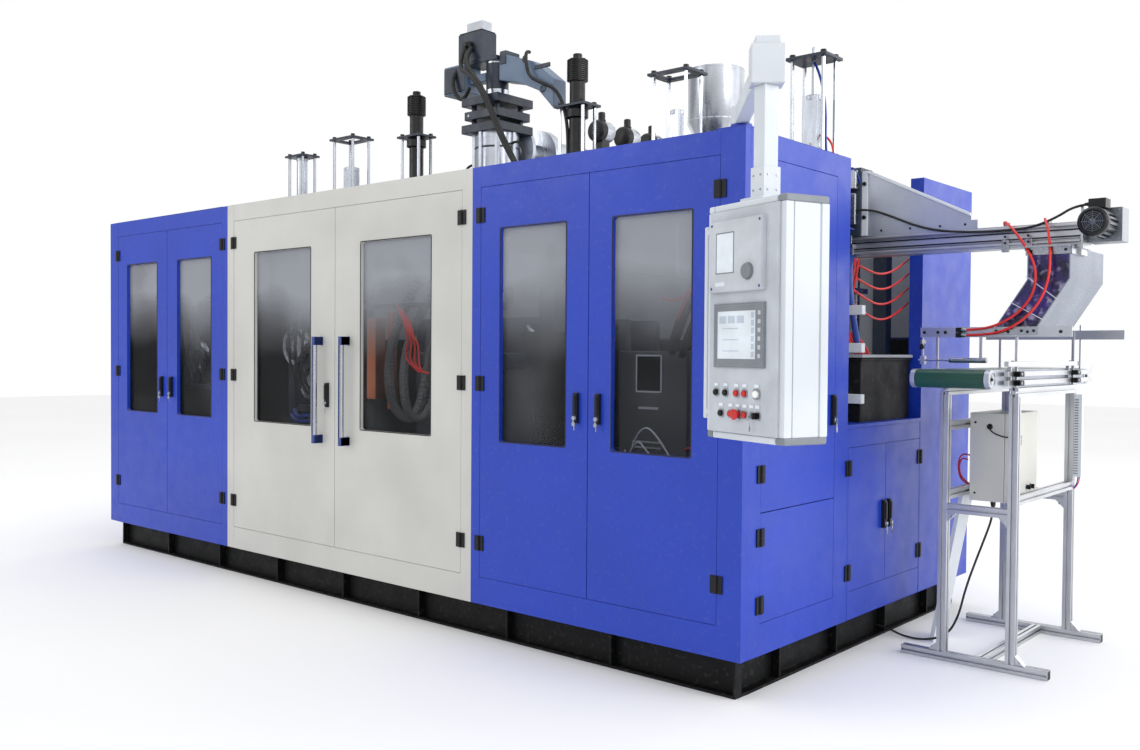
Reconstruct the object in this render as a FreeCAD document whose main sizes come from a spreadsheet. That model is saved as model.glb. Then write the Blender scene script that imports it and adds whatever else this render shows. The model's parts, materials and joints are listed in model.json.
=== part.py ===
"""Twin-station blow moulding machine with an operator pendant, an end take-off beam and a belt conveyor.

Frame: X runs along the machine towards the take-off end, -Y is the operator's side, +Z is up.
The origin is on the floor, under the middle of the enclosure, in the sole of the middle cross beam.
All sizes are millimetres.
"""

import FreeCAD, Part
import math
import os
import re

import Sketcher
from FreeCAD import Placement, Rotation, Vector

DIMS = {
    # enclosure
    "side_length": 1706, "centre_length": 2428, "cover_depth": 2640, "cover_height": 2350,
    "base_height": 190, "stile_depth": 50, "wall": 40, "top_rail": 110, "bottom_rail": 145,
    "outer_stile": 127, "inner_stile": 65, "centre_stile": 80,
    # skid
    "base_inset": 65, "flange_width": 100, "flange_thick": 14, "web_thick": 10, "rib_thick": 12,
    # doors
    "door_gap": 4, "door_thick": 22, "sheet": 2, "strip_thick": 6, "window_rim": 15, "window_low": 740,
    "window_top_margin": 227, "side_window": 460, "centre_window": 630, "window_radius": 18,
    "pane_thick": 5, "pane_lap": 12,
    "lock_width": 28, "lock_height": 150, "lock_proud": 12, "lock_inset": 70, "lock_low": 865,
    "handle_radius": 13, "handle_length": 560, "handle_reach": 50, "handle_inset": 135,
    "handle_low": 690, "handle_foot": 50,
    "hinge_height": 80, "hinge_low": 185, "hinge_middle": 1045, "hinge_margin": 150,
    "leaf_width": 23, "leaf_thick": 6, "knuckle_radius": 7, "axis_proud": 8,
    "knuckle_gap": 0.4,
    # right-hand end
    "end_section": 1000, "end_stile": 155, "end_inner_stile": 140, "end_split": 645,
    "opening_width": 907, "ledge_height": 1000, "cabinet_depth": 600, "cabinet_stile": 12,
    "cabinet_top_rail": 115, "cabinet_sheet": 20, "column_thick": 78, "column_rise": 20,
    # frame of the press
    "centre_y": 80, "column_size": 120, "portal_size": 80, "portal_inset": 270,
    "gantry_front": -760, "gantry_back": 840, "portal_front": -420, "portal_back": 607,
    "beam_tall": 140, "deck_drop": 200, "long_tall": 120, "long_offset": 210,
    "long_width": 80, "track_low": 640, "track_tall": 160, "track_width": 120, "track_offset": 420,
    "rail_size": 60,
    # mould carriages
    "station_pitch": 800, "carriage_width": 680, "shoe_tall": 20, "bed_tall": 50, "bed_front": -560,
    "bed_back": 720, "end_plate": 40, "end_plate_front": -420, "end_plate_back": 540,
    "platen_width": 560, "platen_thick": 50, "platen_low": 1010, "platen_tall": 760,
    "mould_width": 420, "mould_depth": 130, "mould_low": 1240, "mould_tall": 500,
    "ram_bore": 27, "ram_radius": 25, "ram_shell": 55, "ram_length": 240, "ram_height": 1490,
    "guide_tall": 40, "guide_width": 40, "guide_offset": 200, "run_gap": 0.5,
    # blow pin units
    "rod_radius": 12, "pin_base_thick": 25, "pin_radius": 15, "pin_clear": 1, "pin_reach": 410,
    "pin_rise": 300, "pin_tip_radius": 24, "pin_tip_length": 90, "top_plate_thick": 16,
    "rod_end_gap": 30, "cylinder_side": 92, "servo_radius": 52, "servo_head": 66,
    # die head and extruder
    "head_radius": 155, "head_drop": 460, "head_rise": 630, "die_radius": 90, "die_tall": 150,
    "head_plate": 360, "head_plate_thick": 60, "head_plate_pitch": 95, "head_neck_radius": 80,
    "neck_length": 260,
    "barrel_radius": 130, "barrel_rise": 540, "barrel_end": 3040, "adapter_radius": 80, "flange_radius": 190,
    "flange_y": 500, "flange_length": 70, "blower_radius": 90, "blower_tall": 306,
    "blower_cap": 34, "blower_first": 1250, "blower_pitch": 330, "arm_wide": 130,
    "collar_radius": 235, "collar_thick": 40,
    "throat_y": 2880, "throat_side": 200, "throat_tall": 290, "bin_radius": 255, "cone_tall": 340,
    "bin_tall": 480, "bin_wall": 3, "throat_radius": 70, "gearbox_length": 560, "gearbox_width": 460,
    "gearbox_tall": 430, "motor_radius": 165, "motor_length": 520,
    "stand_leg": 100,
    # take-off beam
    "beam_y": 80, "beam_deep": 100, "beam_thick": 110, "beam_length": 1205, "beam_lead": 10,
    "plate_thick": 12, "gusset_setback": 90, "gusset_length": 590,
    "gusset_high": 350, "gusset_tip": 80, "motor_rise": 90, "cowl_radius": 68,
    "chute_sheet": 3, "chute_front": -20, "chute_length": 550, "chute_drop": 14, "chute_back": 517,
    # conveyor on its stand
    "bar_side": 45, "slot": 10, "slot_deep": 13, "stand_gap": 170, "foot_length": 720,
    "tie_offset": 370, "leg_offset": 182, "leg_pitch": 342, "front_y": -20, "back_y": 880,
    "leg_top": 1393.5, "brace_z": 755, "belt_offset": 13, "cheek_margin": 2.5,
    "belt_width": 325, "belt_thick": 2, "roller_radius": 42, "stop_offset": 95, "stop_rise": 130.5,
    "bar_rise": 246.5, "bar_height": 50, "bar_thick": 8, "stop_bore": 5.5,
    "nose_y": -320, "belt_length": 1500, "cheek": 22, "cheek_gap": 3, "shaft_radius": 10,
    # pendant
    "boom_inset": 60, "boom_rise": 60, "boom_length": 897, "boom_turn": -52.4,
    "boom_tall": 80, "boom_wide": 60, "foot_radius": 48, "foot_plate": 150, "tube_side": 62,
    "pendant_turn": -21.1, "case_left": 204, "case_wide": 444,
    "case_tall": 852, "case_deep": 200, "case_low": 1240, "case_front": 110, "edge_strip": 26,
    "cap_radius": 11, "cap_clear": 0.3, "hole_deep": 6, "row_high": 170, "row_low": 95,
    "dial_radius": 28, "panel_thick": 10, "button_proud": 9,
}

# what follows from those sizes, in the order in which it is worked out
PLACES = {
    "portal_x": "side_length + centre_length / 2 - portal_inset",
    "gantry_x": "station_pitch + carriage_width / 2 + column_size / 2 + 50",
    "bay_x": "gantry_x - 0.3 * column_size",
    "long_low": "base_height + cover_height - deck_drop",
    "cross_low": "long_low - beam_tall",
    "deck": "long_low + long_tall",
    "pin_top": "deck + pin_rise",
    "head_low": "deck - head_drop",
    "head_high": "deck + head_rise",
    "barrel_z": "deck + barrel_rise",
    "saddle_y": "gantry_back + column_size / 6",
    "cone_low": "barrel_z + throat_tall",
    "bin_low": "cone_low + cone_tall",
    "bin_high": "bin_low + bin_tall",
    "gearbox_low": "barrel_z - gearbox_tall / 2",
    "beam_start": "portal_x + portal_size / 2 + beam_lead",
    "beam_end": "beam_start + beam_length",
    "beam_high": "cross_low - 10",
    "beam_low": "beam_high - beam_thick",
    "gusset_left": "beam_start + gusset_setback",
    "gusset_right": "gusset_left + gusset_length",
    "motor_x": "beam_end + plate_thick + cowl_radius",
    "motor_z": "beam_low + motor_rise",
    "chute_x": "beam_end - chute_back",
    "chute_top": "beam_low - chute_drop",
    "chute_tall": "chute_top - leg_top - 272.5",
    "foot_left": "side_length + centre_length / 2 + stand_gap",
    "tie_x": "foot_left + tie_offset",
    "leg_left": "foot_left + leg_offset",
    "leg_right": "leg_left + leg_pitch",
    "belt_left": "leg_left + belt_offset",
    "belt_z": "leg_top + roller_radius + cheek_margin",
    "side_low": "brace_z + bar_side + 20",
    "side_high": "leg_top - 223.5",
    "stop_x": "foot_left + stop_offset",
    "stop_y": "front_y - 6",
    "stop_z": "leg_top + stop_rise",
    "bar_low": "leg_top + bar_rise",
    "boom_x": "side_length + centre_length / 2 - boom_inset",
    "boom_y": "boom_inset - cover_depth / 2",
    "boom_z": "base_height + cover_height + boom_rise",
    "pendant_x": "round(boom_x + boom_length * cos(boom_turn * 1deg))",
    "pendant_y": "round(boom_y + boom_length * sin(boom_turn * 1deg))",
}

END = "(side_length + centre_length / 2)"
FRONT = "(-cover_depth / 2)"
BACK = "(cover_depth / 2)"
TOP = "(base_height + cover_height)"
SEAM = "(centre_length / 2)"
PIN_SEAT = "(deck + pin_base_thick)"
DOOR_LOW = "(base_height + bottom_rail)"
RAIL_TOP = "(track_low + track_tall + rail_size)"
BED_LOW = "(track_low + track_tall + rail_size + shoe_tall)"

doc = FreeCAD.newDocument("BlowMouldingMachine")
sheet = doc.addObject("Spreadsheet::Sheet", "Dims")
for row, (alias, value) in enumerate([*DIMS.items(), *PLACES.items()], 1):
    sheet.set(f"A{row}", alias)
    sheet.set(f"B{row}", f"={value}")
    sheet.setAlias(f"B{row}", alias)
doc.recompute()

WORDS = re.compile(r"\b(" + "|".join([*DIMS, *PLACES]) + r")\b")
ROUND = ("x", "y", "z")
# the turns that carry a local Z, or a sketch's normal, on to a machine axis
ALONG = {"x": Rotation(Vector(0, 1, 0), 90), "y": Rotation(Vector(1, 0, 0), -90), "z": Rotation()}
# sketches: across Y and up Z, pulled towards +X, or across X and up Z, pulled towards -Y
SKETCH = {"x": Rotation(Vector(1, 1, 1), 120), "y": Rotation(Vector(1, 0, 0), 90), "z": Rotation()}
nodes = []


# ---------------------------------------------------------------- building blocks
def bind(obj, prop, text):
    """Tie a property to an expression of the sheet's words."""
    obj.setExpression(prop, WORDS.sub(r"Dims.\g<0>", str(text)))


def place(obj, at, turn=None):
    obj.Placement = Placement(Vector(), turn or Rotation())
    for axis, text in zip(ROUND, at):
        bind(obj, f"Placement.Base.{axis}", text)
    return obj


def box(name, at, size):
    obj = doc.addObject("Part::Box", name)
    for prop, text in zip(("Length", "Width", "Height"), size):
        bind(obj, prop, text)
    return place(obj, at)


def cylinder(name, at, radius, length, along="z"):
    obj = doc.addObject("Part::Cylinder", name)
    bind(obj, "Radius", radius)
    bind(obj, "Height", length)
    return place(obj, at, ALONG[along])


def bar(name, at, radius, length, along="z", sides=16):
    """A round bar or bore made of flats, so that bar and bore match face for face."""
    obj = doc.addObject("Part::Prism", name)
    obj.Polygon = sides
    bind(obj, "Circumradius", radius)
    bind(obj, "Height", length)
    return place(obj, at, ALONG[along])


def fuse(name, parts):
    obj = doc.addObject("Part::MultiFuse", name)
    obj.Shapes = parts
    return obj


def cut(name, base, tools):
    tool = tools[0]
    if len(tools) > 1:
        tool = doc.addObject("Part::Compound", name + "_tools")
        tool.Links = tools
    obj = doc.addObject("Part::Cut", name)
    obj.Base = base
    obj.Tool = tool
    return obj


def node(label, parts, at=None, turn=None):
    """One named sub-part: its solids side by side, in a frame of its own where it is turned."""
    obj = doc.addObject("Part::Compound", label)
    obj.Label = label
    obj.Links = parts
    if at:
        place(obj, at, turn)
    nodes.append(obj)
    return obj


def outline(sketch, points):
    """A closed run of lines whose corners are held from the sketch's origin."""
    first = sketch.GeometryCount
    count = len(points)
    start = [Vector(30 * math.cos(2 * math.pi * i / count), 30 * math.sin(2 * math.pi * i / count), 0)
             for i in range(count)]
    for i in range(count):
        sketch.addGeometry(Part.LineSegment(start[i], start[(i + 1) % count]), False)
    for i in range(count):
        nxt = first + (i + 1) % count
        sketch.addConstraint(Sketcher.Constraint("Coincident", first + i, 2, nxt, 1))
    for i, corner in enumerate(points):
        for kind, text in zip(("DistanceX", "DistanceY"), corner):
            held = sketch.addConstraint(Sketcher.Constraint(kind, -1, 1, first + i, 1, 1.0))
            bind(sketch, f"Constraints[{held}]", text)
    return first


def on_plane(body, sketch, role):
    plane = [f for f in body.Origin.OriginFeatures if f.Role == role][0]
    sketch.AttachmentSupport = [(plane, "")]
    sketch.MapMode = "FlatFace"


def sketch_in(body, name, loops, role="XY_Plane"):
    sketch = body.newObject("Sketcher::SketchObject", name)
    on_plane(body, sketch, role)
    for points in loops:
        outline(sketch, points)
    return sketch


def profile(name, loops, length, at, along):
    """A plate or section: loops of corners in a sketch, pulled to its length."""
    body = doc.addObject("PartDesign::Body", name)
    pad = body.newObject("PartDesign::Pad", name + "_pad")
    pad.Profile = sketch_in(body, name + "_outline", loops)
    bind(pad, "Length", length)
    place(body, at, SKETCH[along])
    return body


def turned(name, points, at, along="z"):
    """A turned piece: half a section, radius and height, spun about its axis."""
    body = doc.addObject("PartDesign::Body", name)
    spin = body.newObject("PartDesign::Revolution", name + "_spin")
    sketch = sketch_in(body, name + "_half", [points], "XZ_Plane")
    spin.Profile = sketch
    spin.ReferenceAxis = (sketch, ["V_Axis"])
    spin.Angle = 360
    place(body, at, ALONG[along])
    return body


def rectangle(x0, z0, x1, z1):
    return [(x0, z0), (x1, z0), (x1, z1), (x0, z1)]


def corner_edges(shape, corners):
    """The names of the edges along the pull that stand on the given sketch corners."""
    found = []
    for i, edge in enumerate(shape.Edges, 1):
        ends = [v.Point for v in edge.Vertexes]
        if len(ends) != 2 or (ends[0] - ends[1]).cross(Vector(0, 0, 1)).Length > 1e-6:
            continue
        if any(math.hypot(ends[0].x - c.x, ends[0].y - c.y) < 1e-4 for c in corners):
            found.append(f"Edge{i}")
    return found


# ---------------------------------------------------------------- skid
section = doc.addObject("Sketcher::SketchObject", "i_section")
outline(section, [
    ("0", "0"), ("flange_width", "0"), ("flange_width", "flange_thick"),
    ("(flange_width + web_thick) / 2", "flange_thick"),
    ("(flange_width + web_thick) / 2", "base_height - flange_thick"),
    ("flange_width", "base_height - flange_thick"), ("flange_width", "base_height"),
    ("0", "base_height"), ("0", "base_height - flange_thick"),
    ("(flange_width - web_thick) / 2", "base_height - flange_thick"),
    ("(flange_width - web_thick) / 2", "flange_thick"), ("0", "flange_thick")])


def rolled(name, master, at, length, along):
    """A length of a rolled or extruded section that shares one sketch."""
    obj = doc.addObject("Part::Extrusion", name)
    obj.Base = master
    obj.DirMode = "Custom"
    obj.Dir = Vector(0, 0, 1)
    obj.Solid = True
    bind(obj, "LengthFwd", length)
    return place(obj, at, SKETCH[along])


def base_frame():
    inside = "(cover_depth - 2 * base_inset - 2 * flange_width)"
    parts = [
        rolled("sill_front", section, (f"base_inset - {END}", f"{FRONT} + base_inset", "0"),
               f"2 * {END} - 2 * base_inset", "x"),
        rolled("sill_back", section, (f"base_inset - {END}", f"{BACK} - base_inset - flange_width", "0"),
               f"2 * {END} - 2 * base_inset", "x")]
    places = [f"base_inset - {END}", "-portal_x - flange_width / 2", "-bay_x - flange_width / 2",
              "-flange_width / 2", "bay_x - flange_width / 2", "portal_x - flange_width / 2",
              f"{END} - base_inset - flange_width"]
    for i, x in enumerate(places):
        parts.append(rolled(f"cross_beam_{i}", section, (x, f"{BACK} - base_inset - flange_width", "0"),
                            inside, "y"))
    rib_deep = "((flange_width - web_thick) / 2)"
    rib_tall = "(base_height - 2 * flange_thick)"
    for i in range(9):
        x = f"({i} - 4) * (2 * {END} - 2 * base_inset - rib_thick) / 8 - rib_thick / 2"
        parts.append(box(f"rib_front_{i}", (x, f"{FRONT} + base_inset", "flange_thick"),
                         ("rib_thick", rib_deep, rib_tall)))
        parts.append(box(f"rib_back_{i}", (x, f"{BACK} - base_inset - {rib_deep}", "flange_thick"),
                         ("rib_thick", rib_deep, rib_tall)))
    for i in range(4):
        y = f"{FRONT} + base_inset + flange_width + ({i} + 0.5) * {inside} / 4"
        parts.append(box(f"rib_end_{i}", (f"{END} - base_inset - {rib_deep}", y, "flange_thick"),
                         (rib_deep, "rib_thick", rib_tall)))
    node("base_frame", parts)


# ---------------------------------------------------------------- enclosure
def front_frame(name, x0, width, left, right):
    """The closed box-section frame that a pair of front doors shuts into."""
    inner = f"({width} - {left} - {right})"
    return [
        box(f"{name}_stile_l", (x0, FRONT, "base_height"), (left, "stile_depth", "cover_height")),
        box(f"{name}_stile_r", (f"{x0} + {width} - {right}", FRONT, "base_height"),
            (right, "stile_depth", "cover_height")),
        box(f"{name}_sill", (f"{x0} + {left}", FRONT, "base_height"), (inner, "stile_depth", "bottom_rail")),
        box(f"{name}_head", (f"{x0} + {left}", FRONT, f"{TOP} - top_rail"),
            (inner, "stile_depth", "top_rail")),
        box(f"{name}_foot_strip", (f"{x0} + {left}", f"{FRONT} + stile_depth", "base_height"),
            (inner, "base_inset + flange_width - stile_depth", "strip_thick"))]


def back_wall(name, x0, width):
    """A plain rear wall with two bolted panels standing a sheet's thickness proud."""
    wall = box(f"{name}_back", (x0, f"{BACK} - wall", "base_height"),
               (width, "wall - sheet", "cover_height"))
    panels = [box(f"{name}_back_panel_{i}",
                  (f"{x0} + inner_stile + {i} * ({width} - inner_stile) / 2", f"{BACK} - sheet", DOOR_LOW),
                  (f"({width} - 3 * inner_stile) / 2", "sheet", "cover_height - top_rail - bottom_rail"))
              for i in range(2)]
    strip = box(f"{name}_back_strip",
                (f"{x0} + outer_stile", f"{BACK} - base_inset - flange_width", "base_height"),
                (f"{width} - 2 * outer_stile", "base_inset + flange_width - wall", "strip_thick"))
    return [wall, strip] + panels


def hinge(name, facing, side, axis, z):
    """A lift-off pair of leaves on one upright axis: the door's knuckle sits on the fixed leaf's.

    facing is the outward axis of the wall, side is +1 where the door lies on the plus side of the axis.
    """
    half = "(hinge_height / 2)"
    clear = "(knuckle_radius + 2)"
    low = f"({z} - hinge_height / 2)"
    if facing == "front":
        centre = (axis, f"{FRONT} - axis_proud")
    else:
        centre = (f"{END} + axis_proud", axis)

    def slab(label, near, far, z0, tall, thick, sign):
        start = f"{axis} + ({near})" if sign > 0 else f"{axis} - ({far})"
        span = f"({far}) - ({near})"
        if facing == "front":
            return box(label, (start, f"{FRONT} - {thick}", z0), (span, thick, tall))
        return box(label, (END, start, z0), (thick, span, tall))

    def leaf(label, sign, step):
        z0 = f"{low} + {step} * {half} + knuckle_gap"
        tall = f"{half} - 2 * knuckle_gap"
        return fuse(label, [
            slab(label + "_plate", clear, f"{clear} + leaf_width", low, "hinge_height", "leaf_thick", sign),
            bar(label + "_knuckle", (*centre, z0), "knuckle_radius", tall, sides=8),
            slab(label + "_web", "0", clear, z0, tall, "leaf_thick", sign)])

    return leaf(name + "_fixed", -side, 0), leaf(name + "_moving", side, 1)


def lock(name, facing, across, z):
    """A swing-handle lock: a slim housing with its lever lying in it."""
    def slab(label, half, z0, tall, out, proud):
        if facing == "front":
            return box(label, (f"{across} - {half}", f"{FRONT} - {out} - {proud}", z0),
                       (f"2 * {half}", proud, tall))
        return box(label, (f"{END} + {out}", f"{across} - {half}", z0), (proud, f"2 * {half}", tall))
    housing = slab(name + "_housing", "(lock_width / 2)", z, "lock_height", "0", "lock_proud")
    lever = slab(name + "_lever", "(lock_width / 3)", f"{z} + lock_height * 0.3", "lock_height * 0.62",
                 "lock_proud", "(lock_proud / 2)")
    return fuse(name, [housing, lever])


def door(label, facing, start, low, width, height, window=None, extras=()):
    """A folded sheet door, open behind, with a rimmed window where it has one.

    start is its least X on the front, or its least Y on the end.
    """
    body = doc.addObject("PartDesign::Body", label + "_panel")
    hole = []
    if window:
        left = f"({width} - {window}) / 2"
        hole = rectangle(left, "window_low", f"({width} + {window}) / 2", f"{height} - window_top_margin")
    pad = body.newObject("PartDesign::Pad", label + "_pad")
    face = sketch_in(body, label + "_face", [rectangle("0", "0", width, height)] + ([hole] if hole else []))
    pad.Profile = face
    bind(pad, "Length", "door_thick")
    pan = [rectangle("sheet", "sheet", f"{width} - sheet", f"{height} - sheet")]
    if window:
        left = f"({width} - {window}) / 2 - window_rim"
        pan.append(rectangle(left, "window_low - window_rim", f"({width} + {window}) / 2 + window_rim",
                             f"{height} - window_top_margin + window_rim"))
    hollow = body.newObject("PartDesign::Pocket", label + "_hollow")
    hollow.Profile = sketch_in(body, label + "_pan", pan)
    hollow.Reversed = True
    bind(hollow, "Length", "door_thick - sheet")
    if window:
        doc.recompute()
        first = len(face.Geometry) - 4
        corners = [face.Geometry[i].StartPoint for i in range(first, first + 4)]
        rounding = body.newObject("PartDesign::Fillet", label + "_corners")
        rounding.Base = (hollow, corner_edges(hollow.Shape, corners))
        bind(rounding, "Radius", "window_radius")
    parts = [body]
    if facing == "front":
        place(body, (start, f"{FRONT} + door_thick", low), SKETCH["y"])
    else:
        place(body, (f"{END} - door_thick", start, low), SKETCH["x"])
    if window:
        parts.append(box(label + "_pane",
                         (f"{start} + ({width} - {window}) / 2 - pane_lap", f"{FRONT} + door_thick",
                          f"{low} + window_low - pane_lap"),
                         (f"{window} + 2 * pane_lap", "pane_thick",
                          f"{height} - window_low - window_top_margin + 2 * pane_lap")))
    node(label, parts + list(extras))


def pull_handle(name, x):
    """A bow handle: a tube between two feet that stand off the door."""
    z = f"({DOOR_LOW} + handle_low)"
    feet = [box(f"{name}_foot_{i}",
                (f"{x} - handle_radius - 2", f"{FRONT} - handle_reach - handle_radius - 2",
                 f"{z} - handle_foot + {i} * (handle_foot + handle_length)"),
                ("2 * handle_radius + 4", "handle_reach + handle_radius + 2", "handle_foot"))
            for i in range(2)]
    tube = bar(name + "_tube", (x, f"{FRONT} - handle_reach", z), "handle_radius", "handle_length")
    return feet + [tube]


FRONT_HINGES = [f"({DOOR_LOW} + hinge_low)", f"({DOOR_LOW} + hinge_middle)",
                f"({TOP} - top_rail - hinge_margin)"]
fixed_leaves = {"left_cover": [], "centre_cover": [], "right_cover": [], "end_cover": []}


def door_pair(cover, x0, width, left, right, window, centre):
    """Two doors that meet on a seam, hinged on their outer edges."""
    leaf_wide = f"(({width} - {left} - {right}) / 2)"
    panel = f"({leaf_wide} - door_gap)"
    tall = "(cover_height - top_rail - bottom_rail - door_gap)"
    low = f"({DOOR_LOW} + door_gap / 2)"
    seam = f"({x0} + {left} + {leaf_wide})"
    for side, start, axis, sign in (("left", f"({x0} + {left} + door_gap / 2)", f"({x0} + {left})", 1),
                                    ("right", f"({seam} + door_gap / 2)", f"({x0} + {width} - {right})", -1)):
        name = f"{cover.split('_')[0]}_door_{side}"
        moving = []
        for i, z in enumerate(FRONT_HINGES):
            fixed, swinging = hinge(f"{name}_hinge_{i}", "front", sign, axis, z)
            fixed_leaves[cover].append(fixed)
            moving.append(swinging)
        if centre:
            moving += pull_handle(f"{name}_pull", f"({seam} - {sign} * handle_inset)")
        if not centre or side == "left":
            moving.append(lock(f"{name}_lock", "front", f"({seam} - {sign} * lock_inset)",
                               f"({DOOR_LOW} + lock_low)"))
        door(name, "front", start, low, panel, tall, window, moving)


def covers():
    left_x, right_x = f"(-{END})", SEAM
    centre_x = f"(-{SEAM})"
    door_pair("left_cover", left_x, "side_length", "outer_stile", "inner_stile", "side_window", False)
    door_pair("centre_cover", centre_x, "centre_length", "centre_stile", "centre_stile", "centre_window",
              True)
    door_pair("right_cover", right_x, "side_length", "inner_stile", "outer_stile", "side_window", False)
    left = front_frame("left", left_x, "side_length", "outer_stile", "inner_stile")
    left += back_wall("left", left_x, "side_length")
    left.append(box("left_end_wall", (f"sheet - {END}", f"{FRONT} + stile_depth", "base_height"),
                    ("wall", "cover_depth - stile_depth - wall", "cover_height")))
    left.append(box("left_end_panel", (f"-{END}", f"{FRONT} + outer_stile", DOOR_LOW),
                    ("sheet", "cover_depth - 2 * outer_stile", "cover_height - top_rail - bottom_rail")))
    left.append(box("left_end_strip",
                    (f"sheet + wall - {END}", f"{FRONT} + base_inset + flange_width + 10", "base_height"),
                    ("base_inset + flange_width - sheet - wall",
                     "cover_depth - 2 * base_inset - 2 * flange_width - 20",
                     "strip_thick")))
    node("left_cover", left + fixed_leaves["left_cover"])
    centre = front_frame("centre", centre_x, "centre_length", "centre_stile", "centre_stile")
    centre += back_wall("centre", centre_x, "centre_length")
    node("centre_cover", centre + fixed_leaves["centre_cover"])


def right_end():
    """The right cover's end frame with its two doors, the low cabinet and the rear column."""
    frame_y = f"({FRONT} + stile_depth)"
    stile_end = f"({FRONT} + end_stile)"
    inner_y = f"({FRONT} + end_section - end_inner_stile)"
    x = f"({END} - stile_depth)"
    right = front_frame("right", SEAM, "side_length", "inner_stile", "outer_stile")
    right += back_wall("right", SEAM, "side_length - column_thick")
    right += [
        box("end_stile_front", (x, frame_y, "base_height"),
            ("stile_depth", "end_stile - stile_depth", "cover_height")),
        box("end_stile_back", (x, inner_y, "base_height"),
            ("stile_depth", "end_inner_stile", "cover_height")),
        box("end_sill", (x, stile_end, "base_height"),
            ("stile_depth", f"{inner_y} - {stile_end}", "bottom_rail")),
        box("end_head", (x, stile_end, f"{TOP} - top_rail"),
            ("stile_depth", f"{inner_y} - {stile_end}", "top_rail")),
        box("end_strip", (f"{END} - base_inset - flange_width", f"{stile_end} + 20", "base_height"),
            ("base_inset + flange_width - stile_depth", f"{inner_y} - {stile_end} - 20", "strip_thick"))]
    wide = f"({inner_y} - {stile_end} - door_gap)"
    start = f"({stile_end} + door_gap / 2)"
    split = "(base_height + end_split)"
    lower, upper = [], []
    for i, z in enumerate((f"{DOOR_LOW} + 85", f"{DOOR_LOW} + 390")):
        fixed, moving = hinge(f"end_lower_hinge_{i}", "end", 1, stile_end, f"({z})")
        fixed_leaves["right_cover"].append(fixed)
        lower.append(moving)
    for i, z in enumerate((f"{split} + 175", f"{split} + 780", f"{TOP} - top_rail - 165")):
        fixed, moving = hinge(f"end_upper_hinge_{i}", "end", 1, stile_end, f"({z})")
        fixed_leaves["right_cover"].append(fixed)
        upper.append(moving)
    upper.append(lock("end_upper_lock", "end", f"({inner_y} - 35)", f"({DOOR_LOW} + lock_low)"))
    door("end_door_lower", "end", start, f"({DOOR_LOW} + door_gap / 2)", wide,
         "(end_split - bottom_rail - door_gap)", None, lower)
    door("end_door_upper", "end", start, f"({split} + door_gap / 2)", wide,
         "(cover_height - top_rail - end_split - door_gap)", None, upper)
    pivot = [box("pendant_foot_plate", ("boom_x - foot_plate / 2 - 15", "boom_y - foot_plate / 2 + 20", TOP),
                 ("foot_plate", "foot_plate", "sheet * 4")),
             bar("pendant_foot_post", ("boom_x", "boom_y", f"{TOP} + sheet * 4"), "foot_radius",
                 f"boom_z - boom_tall / 2 - {TOP} - sheet * 4 - 0.3")]
    shelf = box("pendant_foot_shelf",
                ("boom_x - foot_plate / 2 - 10", f"{FRONT} + stile_depth", f"{TOP} - 20"),
                (f"{x} - boom_x + foot_plate / 2 + 10", "foot_plate", "20"))
    node("right_cover", right + pivot + [shelf] + fixed_leaves["right_cover"])

    y0 = f"({FRONT} + end_section)"
    deep = "cabinet_depth"
    back_x = f"({END} - cabinet_depth)"
    face_x = f"({END} - stile_depth)"
    parts = [
        box("cabinet_side_l", (back_x, y0, "base_height"),
            (deep, "cabinet_stile", "ledge_height - cabinet_sheet")),
        box("cabinet_side_r", (back_x, f"{y0} + opening_width - cabinet_stile", "base_height"),
            (deep, "cabinet_stile", "ledge_height - cabinet_sheet")),
        box("cabinet_back", (back_x, f"{y0} + cabinet_stile", "base_height"),
            ("cabinet_sheet", "opening_width - 2 * cabinet_stile", "ledge_height - cabinet_sheet")),
        box("cabinet_top", (back_x, y0, "base_height + ledge_height - cabinet_sheet"),
            (deep, "opening_width", "cabinet_sheet")),
        box("cabinet_sill", (face_x, f"{y0} + cabinet_stile", "base_height"),
            ("stile_depth", "opening_width - 2 * cabinet_stile", "bottom_rail")),
        box("cabinet_floor", (f"{back_x} + cabinet_sheet", f"{y0} + cabinet_stile", "base_height"),
            ("cabinet_depth - cabinet_sheet - stile_depth", "opening_width - 2 * cabinet_stile",
             "cabinet_sheet")),
        box("cabinet_head",
            (face_x, f"{y0} + cabinet_stile", "base_height + ledge_height - cabinet_top_rail"),
            ("stile_depth", "opening_width - 2 * cabinet_stile", "cabinet_top_rail - cabinet_sheet")),
        box("rear_column", (f"{END} - column_thick", f"{y0} + opening_width", "base_height"),
            ("column_thick", f"{BACK} - {y0} - opening_width", "cover_height + column_rise"))]
    half = "((opening_width - 2 * cabinet_stile) / 2)"
    tall = "(ledge_height - cabinet_top_rail - bottom_rail - door_gap)"
    seam = f"({y0} + opening_width / 2)"
    for side, start, axis, sign in (("left", f"({y0} + cabinet_stile + door_gap / 2)",
                                     f"({y0} + cabinet_stile)", 1),
                                    ("right", f"({seam} + door_gap / 2)",
                                     f"({y0} + opening_width - cabinet_stile)", -1)):
        moving = []
        for i, z in enumerate((100, 635)):
            fixed, swinging = hinge(f"cabinet_{side}_hinge_{i}", "end", sign, axis, f"({DOOR_LOW} + {z})")
            fixed_leaves["end_cover"].append(fixed)
            moving.append(swinging)
        moving.append(lock(f"cabinet_{side}_lock", "end", f"({seam} - {sign} * lock_inset / 2)",
                           f"({DOOR_LOW} + 285)"))
        door(f"cabinet_door_{side}", "end", start, f"({DOOR_LOW} + door_gap / 2)", f"({half} - door_gap)",
             tall, None, moving)
    node("end_cover", parts + fixed_leaves["end_cover"])


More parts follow.
